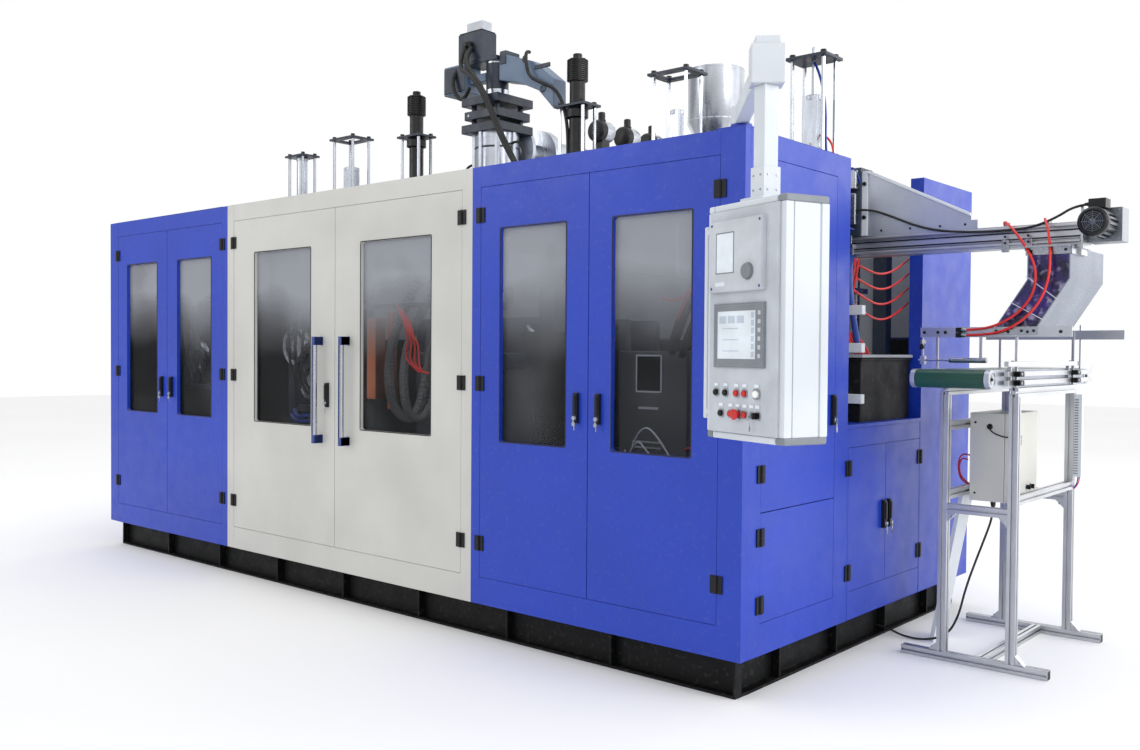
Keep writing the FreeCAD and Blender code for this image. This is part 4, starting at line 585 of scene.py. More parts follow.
for name in ("left", "right"):
    dress(f"{name}_cover", cover_kind("blue"))
    for side in ("left", "right"):
        dress(f"{name}_door_{side}", door_kind("blue"))
dress("centre_cover", cover_kind("white"))
for side in ("left", "right"):
    dress(f"centre_door_{side}", door_kind("white"))
    dress(f"cabinet_door_{side}", door_kind("blue"))
dress("end_cover", cover_kind("blue"))
dress("end_door_lower", door_kind("blue"))
dress("end_door_upper", door_kind("blue"))
dress("base_frame", "black", edge=2)
dress("press_frame", lambda low, high: "bare" if high.z - low.z < 70 and low.z > 790 and high.z < 900
      else "steel_dark_paint", edge=2)
for side in ("left", "right"):
    dress(f"{side}_blow_pins", "plated", edge=0.5)
    dress(f"{side}_carriage", "steel_dark_paint", edge=1.5)
    for half in ("front", "back"):
        dress(f"{side}_{half}_mould", lambda low, high: "bare" if high.z - low.z in (500, 50) else "grey", edge=1.5)
dress("extruder_drive", lambda low, high: "motor" if high.y > 3700 else "grey", edge=2)
for name, finish, edge in (("drive_roller", "plated", 0.5), ("nose_roller", "plated", 0.5),
                           ("stopper_rod", "plated", 0.4), ("scrap_chute", "pale", 1),
                           ("mode_selector", "plastic", 0.4), ("box_selector_1", "plastic", 0.4),
                           ("box_selector_2", "plastic", 0.4)):
    dress(name, finish, edge)


# ---------- pendant
PENDANT = "pendant_case_body"
PENDANT_TURN = -21.1
PENDANT_AT = (3.407, -1.971, 0)


def on_pendant(piece):
    """Turns a piece drawn in the pendant's own frame to where the pendant hangs."""
    piece.rotation_euler = (0, 0, math.radians(PENDANT_TURN))
    piece.location = PENDANT_AT
    return settle(piece)


def hang(pieces, name, finish, width=0.6, body=PENDANT, node="pendant_case"):
    """Finishes pieces drawn in the pendant's own frame, on the pendant."""
    return fit(soften(on_pendant(join(pieces)), width), name, finish, body, stands_for=node)


dress("pendant_case", lambda low, high: "pale" if low.z > 2085 else "panel_face" if abs(high.z - low.z - 800) < 2
      else "out", edge=2, leave_out=("out",))
hang([block((-198, -96, 1262), (234, 84, 2070))], "pendant_shell", "pale", 2)
hang([block((x, y, 1266), (x + 34, y + 34, 2066)) for x in (-204, 206) for y in (-100, 56)]
     + [block((232, -62, 1266), (238, 50, 2066))], "pendant_rails", "pale", 7)
hang([block((-170, -100, 2066), (192, 90, 2092)), block((-170, -100, 1240), (192, 90, 1266)),
      block((-204, -100, 2066), (-172, 90, 2092))], "pendant_lids", "pale", 6)
hang([block((194, -100, 2064), (240, 90, 2092)), block((194, -100, 1240), (240, 90, 1268)),
      block((-204, -100, 1240), (-172, 90, 1268))], "pendant_corner_caps", "controller", 7)
hang([plate(307, 257, 16, 0, [(3, 2), (6, -0.6)], (-6.5, -110, 1899.5), 0)], "upper_controller", "silver_face")
hang([surround(107, 148, 4, 1.5, 2, (-65.5, -127, 1911), 0),
      turned([(0, 31), (1.6, 31), (2.6, 29)], (70, -127, 1839), FRONT)], "upper_controller_rims",
     "controller", 0.4)
hang([plate(99, 140, 1.2, 1, (), (-65.5, -126.6, 1911), 0)], "upper_screen", "screen", 0.3)
hang([turned([(0, 5), (1.5, 5), (2.2, 4)], (x, -127, z), FRONT, 16)
      for x in (-146, 133) for z in (1785, 2014)], "upper_controller_screws", "blue_cap", 0)
hang([plate(293, 229, 8, 0, [(4, 1.4), (10, -1)], (4.5, -110, 1615.5), 0)], "touch_panel", "controller")
hang([plate(219, 170, 1.2, 0, [(2, -0.4)], (-6.5, -118, 1617), 0)], "touch_screen", "screen", 0.2)
hang([plate(15, 15, 1.8, 3, (), (125, -118, 1543 + 30 * row), 0) for row in range(6)],
     "touch_panel_keys", "panel_face", 0.4)
hang([plate(16, 20, 0.5, 1, (), (88, -119, 1548 + 27.6 * row), 0) for row in range(6)]
     + [plate(92, 3, 0.5, 0, (), (-40, -119, z), 0) for z in (1560, 1600, 1640)]
     + [plate(40, 26, 0.5, 1, (), (x, -119, 1672), 0) for x in (-86, -34, 18)],
     "touch_screen_fields", "faint", 0)
hang([plate(24, 11, 0.6, 1, (), (x, -112.4, z), 0) for z, row in ((1438, (-130, -74, -9, 38, 106)),
     (1366, (-100, -43, 0, 40, 79, 112))) for x in row] + [plate(56, 14, 0.6, 1, (), (-96, -127, 1800), 0)],
     "label_patches", "screen", 0)

BUTTONS = [("black_button_1", -130, 1410, "plastic"), ("black_button_2", -74, 1410, "plastic"),
           ("red_button_1", -9, 1410, "red"), ("red_button_2", 38, 1410, "red"),
           ("black_button_3", -100, 1335, "plastic"), ("red_button_3", -43, 1335, "red"),
           ("red_button_4", 40, 1335, "red")]
for name, x, z, finish in BUTTONS:
    hang([turned([(0, 10.4), (8, 10.6), (9.6, 9.6), (9.6, 7.4), (8.8, 6.8)], (x, -112, z), FRONT, 32)],
         f"{name}_cap", finish, 0, f"{name}_body", name)
hang([turned([(0, 13), (7, 13.4), (10.5, 11.4), (12, 7)], (106, -112, 1410), FRONT, 32)],
     "white_button_cap", "lamp", 0, "white_button_body", "white_button")
hang([turned([(-24, 12), (13, 12), (14, 14), (16, 19.4), (19, 20), (21.5, 18), (22.5, 13)], (0, -112, 1335),
             FRONT, 40)], "emergency_stop_head", "red", 0, "emergency_stop_body", "emergency_stop")
hang([turned([(0, 27.5), (3, 28), (11, 27), (13, 25), (13, 20), (11.5, 18)], (70, -128, 1839), FRONT),
      turned([(0, 4), (1.6, 3.4)], (70, -139, 1839), FRONT, 16)],
     "jog_dial_wheel", "controller", 0, "jog_dial_body", "jog_dial")
hang([surround(2 * reach, 2 * reach, reach - bore, 3.2, reach * 0.6, (x, -111.5, z), 0)
      for x, z, reach, bore in [(*b[1:3], 15.5, 11.4) for b in BUTTONS]
      + [(106, 1410, 19, 14.4), (0, 1335, 19, 13.2), (79, 1335, 13.5, 9.6), (112, 1335, 16, 12)]],
     "button_rings", "plated", 0.6)
hang([turned([(0, 9), (3, 9), (3, 7)], (79, -122, 1335), FRONT, 24),
      outline([(-1.6, 0), (1.6, 0), (2, -5), (7, -9), (6, -18), (-6, -18), (-7, -9), (-2, -5)], 2,
              (79, -127, 1335), 0)],
     "panel_key", "plated", 0.3, "key_switch_body", "key_switch")
hang([outline([(-1.4, 0), (1.4, 0), (2, -14), (7, -20), (6, -32), (-6, -32), (-7, -20), (-2, -14)], 1.6,
              (86, -124, 1312), -16)], "hanging_key", "plated", 0.3)
hang([turned([(0, 8), (10, 8), (11, 7)], (79, -112, 1335), FRONT, 24)],
     "key_barrel", "plated", 0, "key_switch_body", "key_switch")
hang([block((-273, -71, 1306), (-251, -49, 2027))], "grip_bar", "pale", 5)
hang([block((-268, -70, z), (-202, -50, z + 20)) for z in (1322, 1996)], "grip_arms", "pale", 4)
hang([screw((x, -37.6, z), FRONT, 4, 2.6) for x in (-20, 20) for z in (2136, 2188)]
     + [screw((38, y, z - 0.4), RIGHT, 4, 2.6) for y in (-20, 20) for z in (2136, 2188)]
     + [screw((x, y, 2107.6), UP, 5, 3) for x in (-52, 52) for y in (-52, 52)],
     "sleeve_screws", "plated", 0)
for piece in solids("pendant_arm"):
    top = corners(piece)[1].z
    fit(soften(piece, 22 if top > 2660 else 5, 5), f"boom_{round(top)}", "pale", "pendant_arm_body",
        stands_for="pendant_arm")


# ---------- take-off beam, motor and chute
def part(pieces, name, finish, width=0.6, body="machine", node=None, segments=2):
    return fit(soften(join(pieces), width, segments), name, finish, body, stands_for=node)


def hoses(name, finish, radius, *runs, sides=2, steps=8):
    """Fixed hoses or leads of one radius, each along its own run of points."""
    return part([pipe(run, radius, sides, steps) for run in runs], name, finish, 0)


def takeoff_kind(low, high):
    size = high - low
    if size.x > 500 and size.y < 20:
        return "brushed"
    if size.x < 25 and high.z < 2220 and low.y > 150:
        return "plastic"
    return "profile"


dress("takeoff_beam", takeoff_kind, edge=0.8)
part([outline([(2792, 2538), (2830, 2538), (3378, 2269), (3378, 2255), (2828, 2525), (2792, 2525)], 24, (0, 94, 0), 0)],
     "gusset_flange", "pale", 1.5)
part([block((2790, 72, 2192), (2822, 83, 2530))], "gusset_strip", "pale", 1.5)
part([screw((2806, 72, z), FRONT, 11, 9) for z in (2290, 2470)] + [screw((x, 82, 2214), FRONT, 6, 4)
     for x in (2900, 3060, 3220, 3350)], "gusset_bolts", "motor", 0)
part([block((2704, 72, z), (3900, 80.4, z + 6)) for z in (2118, 2150)] + [block((2704, 84, 2190), (3380, 96, 2193))],
     "beam_slots", "plastic", 0)
part([block((2704, 66, z), (3902, 81, z + 12)) for z in (2092, 2170)], "beam_rails", "profile", 3)
part([block((x, 60, z), (x + 34, 82, z + 60)) for x, z in ((2716, 2090), (3540, 2060), (3650, 2060))]
     + [block((2726, 56, 2150), (2742, 62, 2196))], "beam_clamps", "plated", 3)
part([screw((x, 60, z), FRONT, 6, 5) for x in (2733, 3557, 3667) for z in (2105, 2135)], "beam_clamp_screws",
     "motor", 0)
part([block((2712, 20, 2440), (2780, 90, 2545)), block((2716, 24, 2250), (2776, 60, 2420))], "carriage_block",
     "plated", 6)
hoses("beam_blue_hoses", "blue_wire", 5,
      [(2700, 60, 2480), (2712, 16, 2500), (2746, 6, 2556), (2782, 20, 2548), (2786, 70, 2470)],
      [(2705, 40, 2200), (2712, 4, 2216), (2752, 0, 2236), (2768, 30, 2222)])

dress("takeoff_motor", lambda low, high: "out" if high.y < 0 else "fins" if high.y < 150 and low.z < 2200 and
      high.z < 2240 else "motor" if low.z > 2230 else "bare", edge=2, leave_out=("out",))
part([turned([(0, 66), (4, 68), (32, 68), (38, 65), (43, 58), (43, 53), (36, 51)], (3985, -10, 2170), FRONT, 64)],
     "fan_cowl", "motor", 0, node="takeoff_motor")
MOTOR_X, MOTOR_Z = 3.985, 2.170  # the fan's centre, in metres
rings = []
for reach in (16, 26, 35, 44):
    clear()
    bpy.ops.mesh.primitive_torus_add(major_radius=reach * MM, minor_radius=1.8 * MM, major_segments=40,
                                     minor_segments=8, location=(MOTOR_X, -0.048, MOTOR_Z),
                                     rotation=(math.pi / 2, 0, 0))
    rings.append(settle(bpy.context.object))
for spoke in range(4):
    bar = block((-50, -49.5, -2), (50, -46.5, 2))
    bar.rotation_euler = (0, math.radians(45 * spoke), 0)
    bar.location = (MOTOR_X, 0, MOTOR_Z)
    rings.append(settle(bar))
rings.append(turned([(0, 13), (4, 13), (5, 11)], (3985, -46, 2170), FRONT, 24))
part(rings, "fan_grille", "fins", 0)
part([plate(150, 160, 8, 6, (), (3992, 142, 2170), 0)]
     + [screw((x, 134, z), FRONT, 6, 5) for z in (2104, 2236) for x in (3930, 4050)], "motor_flange", "bare", 0.8)
part([turned([(0, 9), (12, 9), (13, 7.5), (22, 7.5)], (3948, 44, 2262), LEFT, 12),
      block((3951, 24, 2278), (4019, 100, 2284))], "terminal_box_gland", "motor", 0.8)

dress("takeoff_chute", "sheet", edge=1)
part([outline([(3546, 1672), (3734, 1672), (3734, 1688), (3879, 1917), (3879, 2060), (3696, 2060), (3696, 1914),
               (3546, 1684)], 2, (0, -20.5, 0), 0)], "chute_film", "film", 0)
hoses("chute_ties", "pale", 2.2, [(3686, -24, 1932), (3757, -25, 1876), (3828, -24, 1819)],
      [(3616, -24, 1808), (3692, -25, 1765), (3767, -24, 1722)])
part([block((3684, -28, 2030), (3892, -20, 2072)), block((3886, -28, 2030), (3892, 100, 2072)),
      block((3690, -60, 2064), (3890, -20, 2072)), block((3532, -31.5, 1652), (3748, -28.2, 1688))],
     "chute_flanges", "plated", 1.2)
part([screw((x, -31, z), FRONT, 7, 5) for x, z in ((3552, 1670), (3604, 1670), (3672, 1670), (3728, 1670))]
     + [screw((x, -28, 2050), FRONT, 7, 5) for x in (3710, 3866)], "chute_bolts", "motor", 0)

# ---------- conveyor and its stand
def conveyor_kind(low, high):
    size = high - low
    if size.x < 31 and size.z < 30 and size.y < 61:
        return "plastic"
    if size.y > 1000 and size.x < 25 and size.z > 60:
        return "brushed"
    return "profile"


dress("conveyor_frame", conveyor_kind, edge=0.8)
dress("conveyor_belt", "belt", edge=0)
part([turned([(0, 44), (2, 44), (3, 42), (3, 16), (2, 14)], (x, y, 1438), (side, 0, 0), 48)
      for y in (-320, 1180) for x, side in ((3635, 1), (3262, -1))], "roller_caps", "plated", 0)
part([screw((3637, y, 1438), RIGHT, 8, 5) for y in (-320, 1180)], "roller_bolts", "motor", 0)
part([block((3668, y, z), (3704, y + 60, z + 26)) for y in (-130, 780) for z in (1407, 1449)], "rod_clamps",
     "plastic", 5)
part([screw((3704, y, z), RIGHT, 7, 5) for y in (-116, -84, 794, 826) for z in (1420, 1462)], "rod_clamp_screws",
     "plated", 0)
part([turned([(0, 14), (10, 14), (12, 11), (18, 10)], (x, y, z), RIGHT, 20)
      for x, y, z in ((3651, -100, 1512), (3651, 810, 1512), (3171, -26, 1592))], "knobs", "plastic", 0)
part([turned([(0, 13.6), (14, 13.6), (15, 12), (170, 12), (171, 13.6), (184, 13.6)], (3322, -26, 1526), RIGHT, 32)],
     "stopper_barrel", "plated", 0)
part([turned([(0, 9), (3, 9), (4, 7)], (x, -28, 1665), FRONT, 6)
      for x in (3192, 3262, 3300, 3560, 3610, 3700, 3850)], "stop_bar_bolts", "motor", 0)
dress("conveyor_stand", "profile", edge=0.8)
part([block((x, y, 0.6), (x + 4, y + 45, 45)) for x in (3086, 3810) for y in (-20, 880)], "foot_caps", "plastic", 2)
part([screw((x, y, z), FRONT, 6, 4) for x, z in ((3248, 62), (3340, 736), (3591, 736), (3681, 62))
      for y in (-15, 885)], "gusset_screws", "plated", 0)
dress("stand_box", lambda low, high: "out" if high.x - low.x > 150 else "pale" if high.y > 880 else "rubber", edge=1,
      leave_out=("out",))
part([block((3317, 280, 790), (3493, 730, 1250)), block((3495, 280, 790), (3517, 730, 1250)),
      block((3480, 290, 800), (3500, 720, 1240))], "control_box", "light", 3, node="stand_box", segments=3)
part([screw((3345, 280, z), FRONT, 6, 2) for z in (830, 1200)]
     + [turned([(0, 15), (4, 15), (6, 12), (9, 9)], (3420, 280, 1180), FRONT, 24)], "box_grommet", "plastic", 0)
hoses("box_lead", "rubber", 4,
      [(3420, 272, 1180), (3420, 258, 1178), (3446, 250, 1150), (3500, 250, 1132), (3540, 262, 1130),
       (3548, 330, 1128), (3516, 380, 1130)])
part([turned([(0, 16), (3, 16), (4, 13)], (3517, y, 850), RIGHT, 32) for y in (560, 620)]
     + [block((3517, 400, 1080), (3518.6, 470, 1130))], "box_selector_rings", "plated", 0)
SLOTS_UP = [905 + 14.4 * row for row in range(29)]
part([block((3662, 883.8, z), (3682, 885.6, z + 6)) for z in SLOTS_UP]
     + [block((3658.2, 888, z), (3660, 912, z + 6)) for z in SLOTS_UP],
     "duct_slots", "controller", 0)
hoses("duct_lead_blue", "blue_wire", 3.4,
      [(3680, 902, 896), (3680, 902, 850), (3640, 896, 804), (3560, 876, 800), (3470, 878, 806)])
hoses("duct_lead_red", "red_hose", 3,
      [(3686, 906, 896), (3688, 906, 860), (3654, 900, 810), (3570, 876, 806), (3470, 878, 812)])
hoses("box_red_leads", "red_hose", 4,
      [(3300, 300, 1000), (3262, 320, 1010), (3240, 330, 960), (3256, 330, 890), (3317, 330, 860)],
      [(3300, 330, 1020), (3252, 340, 1034), (3226, 350, 960), (3246, 350, 872), (3317, 350, 850)])
part([turned([(0, 13), (10, 13), (13, 10), (34, 7.4)], (3400, 400, 766), DOWN, 24)], "box_gland", "rubber", 0)

# ---------- die head, arm and blowers on top
dress("die_head", lambda low, high: "out" if low.z > 3820 else "plated" if high.z - low.z > 1000 else "dark_slate",
      edge=4, leave_out=("out",))
part([block((-268, 30, 3838), (-106, 130, 3918))], "valve_head", "silver_face", 8, node="die_head")
part([block((-322, 10, 3840), (-92, 150, 3848)), turned([(0, 34), (30, 34), (34, 26), (60, 22)], (-207, 5, 3740),
      FRONT, 24), turned([(0, 22), (26, 22), (30, 16)], (-330, 80, 3740), LEFT, 20)],
     "valve_plugs", "motor", 3)
part([turned([(0, 157), (1010, 157), (1010, 159), (1050, 159), (1050, 157)], (0, 80, 2040), UP, 64)],
     "head_jacket", "jacket", 0, node="die_head")
part([block((x - 14, y - 14, 2520), (x + 14, y + 14, 3092)) for x, y in ((0, -78), (158, 80), (-158, 80), (112, -32),
      (-112, -32))], "head_straps", "brushed", 4)
part([turned([(0, 160), (14, 160)], (0, 80, z), UP, 64) for z in (2620, 2980)], "head_bands", "dark_slate", 2)
part([screw((x, y, 3340), UP, 20, 16) for x in (-115, 115) for y in (-35, 195)]
     + [screw((x, -84, z), FRONT, 9, 6) for x in (-120, 120) for z in (3120, 3215)], "head_bolts", "plated", 0)
part([turned([(0, 82), (60, 84), (64, 70), (240, 66), (244, 80), (258, 80)], (0, 80, 3342), UP, 40)],
     "head_neck", "plated", 0, node="die_head")
dress("head_arm", "slate", edge=5)
part([block((90, 10, 3560), (150, 150, 3652)), block((420, 10, 3470), (560, 24, 3500)),
      block((-474, 0, 3430), (-250, 12, 3616))], "arm_brackets", "dark_slate", 4)
part([turned([(0, 26), (2, 26), (2, 20), (-6, 18)], (x, 15, z), FRONT, 28) for x, z in ((330, 3560), (500, 3330))],
     "arm_holes", "motor", 0)
part([pipe([(-180, -10, 3720), (-180, -70, 3640), (-90, -110, 3520), (60, -130, 3380), (240, -140, 3060),
            (430, -120, 2740), (520, -110, 2530)], 19, 4, 12),
      pipe([(-207, -40, 3740), (-230, -90, 3560), (-60, -150, 3500), (110, -150, 3300), (280, -160, 2980),
            (470, -140, 2700), (560, -120, 2520)], 13, 3, 12),
      pipe([(-330, 60, 3660), (-360, -20, 3560), (-330, -40, 3420), (-230, -30, 3330), (-140, -60, 3420)], 14, 3, 12),
      pipe([(350, 40, 3606), (352, 4, 3610), (366, -18, 3540), (400, -24, 3420), (520, -20, 3360),
            (640, 10, 3300), (700, 40, 3100), (690, 60, 2800), (680, 70, 2530)], 12, 3, 12)],
     "head_cables", "rubber", 0)
hoses("head_leads", "rubber", 9,
      [(165, 60, 3010), (260, 30, 3020), (320, 20, 2930), (330, 20, 2820), (320, 30, 2520)],
      [(-160, 60, 2900), (-240, 20, 2900), (-262, 10, 2800), (-250, 20, 2520)], sides=3, steps=10)
part([outline([(0, 0), (150, 0), (150, 70), (110, 150), (60, 150), (0, 90)], 16, (1010, -40, 2540), 0)],
     "lifting_eye", "slate", 2)
part([turned([(0, 34), (1, 34), (1, 28), (-4, 27)], (1092, -56, 2610), FRONT, 28)], "lifting_eye_hole", "motor", 0)
dress("extruder", lambda low, high: "jacket" if high.x - low.x > 350 else "out" if low.y > 1000 else "dark_slate",
      edge=2, leave_out=("out",))
for row, y in enumerate((1250, 1580, 1910)):
    part([turned([(0, 60), (6, 74), (16, 84), (62, 88), (66, 80)], (0, y - 88, 3300), BACK, 48),
          turned([(0, 34), (14, 34), (18, 28), (70, 28), (76, 20)], (0, y, 3380), UP, 28),
          block((-46, y - 46, 3124), (46, y + 46, 3230))], f"blower_{row}", "motor", 3, node="extruder")
    part([turned([(0, 80), (2, 84), (76, 86), (98, 80), (106, 50)], (0, y - 20, 3300), BACK, 48)],
         f"blower_{row}_band", "plated", 0)
part([turned([(0, 196), (30, 196)], (0, 246, 3000), BACK, 64)]
     + [turned([(0, 134), (26, 134)], (0, 1080 + 330 * n, 3000), BACK, 48) for n in range(5)], "barrel_bands",
     "brushed", 2)
dress("hopper", "plated", edge=0)
part([turned([(0, 257), (10, 258), (10, 250)], (0, 2880, z), UP, 64) for z in (4090, 3640)], "hopper_rims",
     "brushed", 0)

# ---------- rods, cylinders and pins of the six units
dress("pin_frames", lambda low, high: "dark_slate" if high.z - low.z < 30 else "plated", edge=1)
dress("pin_cylinders", lambda low, high: "motor" if high.z > 3300 else "jacket", edge=3)
AXIS_Y = 80
# x, width and depth of the plates, height of the rod nuts, top of the cylinder (none on a servo unit)
UNITS = [(-2350, 250, 180, 3211, 3194), (-1670, 300, 220, 3271, 3039), (-870, 250, 180, 3191, None),
         (750, 250, 180, 3191, None), (1560, 300, 220, 3271, 3039), (2490, 250, 200, 3201, 2989)]
RODS = [(x + a * (wide / 2 - 30), AXIS_Y + b * (deep / 2 - 30), z)
        for x, wide, deep, z, top in UNITS for a in (-1, 1) for b in (-1, 1)]
part([turned([(0, 17), (18, 17)], (x, y, z), UP, 6) for x, y, z in RODS], "rod_nuts", "motor", 1)
part([turned([(0, 19), (26, 19)], (x, y, 2486), UP, 24) for x, y, z in RODS], "rod_collars", "brushed", 1)
for x, wide, deep, z, top in UNITS:
    if top:
        part([turned([(0, 50), (24, 50), (28, 44)], (x, AXIS_Y, top - 26), UP, 40),
              turned([(0, 50), (24, 50)], (x, AXIS_Y, 2700), UP, 40)], f"cylinder_caps_{abs(x)}", "brushed", 1)
for x in (-870, 750):
    part([turned([(0, 56), (60, 56), (64, 54), (540, 54), (548, 74), (600, 74), (606, 68)], (x, AXIS_Y, 2560), UP,
                 48)], f"servo_tube_{abs(x)}", "motor", 1)
    part([block((x - 4, AXIS_Y + 60, 3360), (x + 4, AXIS_Y + 70, 3480))] + [
         turned([(0, 71), (5, 71)], (x, AXIS_Y, 3352 + 13 * n), UP, 36) for n in range(11)], f"servo_fins_{abs(x)}",
         "motor", 0)
hoses("unit_hose_blue", "blue_wire", 7,
      [(2490, 80, 3180), (2560, 20, 3100), (2600, 20, 2900), (2590, 30, 2700), (2600, 60, 2500)], sides=3)
hoses("unit_hoses_red", "red_hose", 6, [(2490, 100, 2800), (2580, 90, 2760), (2620, 90, 2660), (2610, 90, 2500)],
      [(1560, 120, 2900), (1650, 100, 2860), (1680, 100, 2700), (1670, 100, 2500)], sides=3)

# ---------- behind the windows and in the end opening
# Painted light and shade: each section's rear wall is a pale grey upper lining for the light from the open top, and a
# near-black lower lining and floor sheet for the shade below.
for low, high, name in ((-2870, -1220, "left"), (-1208, 1208, "centre"), (1220, 2860, "right")):
    part([block((low, 1268, 1660), (high, 1278, 2440))], f"{name}_rear_lining_high", "pale_grey_and_painted_light", 2)
    part([block((low, 1266, 200), (high, 1278, 1650)), block((low + 10, -1150, 197), (high - 10, 1260, 203))],
         f"{name}_rear_lining_low", "near_black_and_painted_shade", 2)
# Painted shade: a near-black lining inside the left end.
part([block((-2876, -1260, 210), (-2868, 1270, 2440))], "left_end_lining", "near_black_and_painted_shade", 2)
part([turned([(0, 176), (60, 150), (300, 128), (520, 150), (660, 184), (760, 190)], (1500, -955, 900), UP, 64)],
     "apron_right", "rubber", 0)
hoses("apron_rail", "plated", 13,
      [(1330, -1000, 1690), (1420, -1090, 1672), (1560, -1080, 1600), (1660, -1000, 1560)], sides=3)
part([block((1690, -960, 1330), (1740, -920, 1860)), block((1684, -970, 1560), (1746, -915, 1600)),
      block((1684, -970, 1800), (1746, -915, 1836))], "apron_post", "pale", 4)
part([block((1790, -760, 840), (2236, -540, 1560))], "valve_cabinet", "graphite", 5)
part([plate(156, 186, 3, 4, (), (1990, -760, 1440), 0)], "valve_cabinet_door", "near_black_and_painted_shade", 0.5)
part([surround(172, 202, 9, 4, 5, (1990, -760, 1440), 0), block((1930, -772, 1250), (2060, -762, 1262)),
      block((1890, -772, 1040), (2080, -764, 1050)), block((1890, -772, 1070), (2080, -764, 1080))],
     "valve_cabinet_trim", "brushed", 1)
part([pipe([(2600, -990, 2200), (2540, -1000, 2040), (2420, -1000, 1830), (2300, -960, 1640), (2240, -900, 1560)],
           26, 3, 10),
      pipe([(2640, -960, 2200), (2580, -970, 2020), (2470, -960, 1800), (2350, -920, 1640), (2270, -860, 1540)],
           20, 3, 10)], "energy_chain", "rubber", 0)
part([pipe([(2610, -1020, 2200), (2556, -1034, 2030), (2440, -1034, 1850), (2330, -1000, 1800), (2180, -900, 1830)], 6),
      pipe([(2620, -1024, 2180), (2540, -1040, 2000), (2450, -1040, 1860), (2350, -1010, 1720)], 6),
      pipe([(2320, -900, 1060), (2400, -960, 1100), (2450, -960, 1010), (2430, -960, 900)], 5)], "right_red_hoses",
     "red_hose", 0)
hoses("white_leads", "pale", 5, [(1960, -860, 1060), (2040, -900, 1170), (2140, -900, 1150), (2260, -900, 980)],
      [(1950, -880, 1000), (2010, -900, 1120), (2120, -920, 1020), (2230, -900, 920)],
      [(1940, -900, 1040), (1960, -900, 940), (2080, -900, 860)])
part([block((-120, -980, 1240), (-30, -900, 1760)), block((40, -940, 1180), (90, -900, 1800))], "heater_block",
     "copper", 4)
part([ribbed([(300, -900, 1990), (250, -1000, 1800), (130, -1010, 1500), (150, -1000, 1200), (330, -980, 1100),
              (430, -960, 1300), (420, -900, 1700)], 34),
      ribbed([(420, -900, 1900), (360, -1010, 1700), (280, -1020, 1420), (300, -1000, 1160), (460, -980, 1120),
              (560, -950, 1400), (540, -900, 1700)], 30)], "vent_hoses", "grey_hose", 0)
hoses("centre_red_hoses", "red_hose", 6,
      *([(240 + 40 * n, -1030, 1840 - 30 * n), (330 + 30 * n, -1060, 1760 - 40 * n), (380 + 30 * n, -1050, 1600),
         (300 + 50 * n, -1030, 1500 - 30 * n), (420 + 30 * n, -1000, 1420)] for n in range(4)))
part([block((-240, -1000, 1820), (640, -960, 1850)), block((560, -1000, 1000), (590, -960, 1820)),
      block((-240, -1000, 1000), (-210, -960, 1820))], "hose_rack", "dark_slate", 3)
part([turned([(0, 120), (30, 130), (60, 130), (62, 96), (20, 90)], (x, -900, z), FRONT, 56)
      for x, z in ((-960, 1580), (-760, 1340), (-2280, 1500))], "clamp_rings", "plated", 2)
part([block((-1120, -860, 1120), (-620, -780, 1160)), block((-1090, -880, 1160), (-1060, -840, 1900)),
      block((-660, -880, 1160), (-630, -840, 1900)), block((-2500, -900, 1240), (-2000, -860, 1280)),
      block((-2440, -900, 1280), (-2400, -860, 1900)), block((-2100, -900, 1280), (-2060, -860, 1900))],
     "clamp_frames", "dark_slate", 3)
hoses("clamp_hoses", "rubber", 10,
      *([(-1000 + 90 * n, -960, 1860), (-980 + 80 * n, -1000, 1600 - 60 * n), (-900 + 60 * n, -990, 1300),
         (-840 + 70 * n, -900, 1180)] for n in range(3)),
      *([(-2440 + 120 * n, -960, 1800), (-2380 + 100 * n, -990, 1560), (-2300 + 80 * n, -960, 1320)]
        for n in range(3)))
hoses("clamp_hoses_blue", "blue_wire", 12,
      [(-990, -930, 1130), (-860, -1010, 1080), (-700, -1000, 1120), (-560, -960, 1060)],
      [(-980, -960, 1100), (-840, -1030, 1040), (-660, -1010, 1080)])

part([block((2330, -60, 1090), (2860, 560, 1520)), block((2320, -70, 1516), (2870, 570, 1532))], "tank", "near_black_and_painted_shade", 5)
part([block((2300, -80, 1534), (2880, 560, 1550))], "tank_lid", "pale_grey_and_painted_light", 2)
part([block((2560, x, 1480), (2600, x + 40, 2300)) for x in (240, 420)]
     + [block((2520, 200, 1900), (2640, 480, 1930))], "end_columns", "plated", 4)
part([block((2720, -90, z), (2880, -50, z + 50)) for z in (1120, 1290, 1560, 1760)] + [block((2706, -100, 1100),
     (2726, -60, 2160))], "end_brackets", "pale", 4)
part([plate(240, 640, 4, 4, (), (2500, 640, 1800), 0)], "punched_panel", "pale_grey_and_painted_light", 1)
hoses("end_bundle", "blue_wire", 17,
      [(2740, 60, 2080), (2760, 0, 2060), (2770, -20, 1900), (2790, -10, 1740), (2810, 20, 1560)],
      sides=3, steps=10)
part([pipe([(2720 + 16 * n, 20 + 10 * n, 2070), (2740 + 10 * n, -20 + 8 * n, 1980 - 30 * n),
            (2740 - 12 * n, -50 + 10 * n, 1760 - 20 * n), (2770 + 10 * n, -30 + 24 * n, 1640),
            (2800 + 8 * n, 10 + 20 * n, 1552)], 7) for n in range(5)]
     + [pipe([(2752, 0, 2060 - 70 * n), (2790, 100, 2020 - 80 * n), (2800, 300, 1990 - 85 * n),
              (2800, 520, 2040 - 85 * n), (2790, 690, 2110 - 85 * n)], 6) for n in range(4)],
     "end_red_hoses", "red_hose", 0)

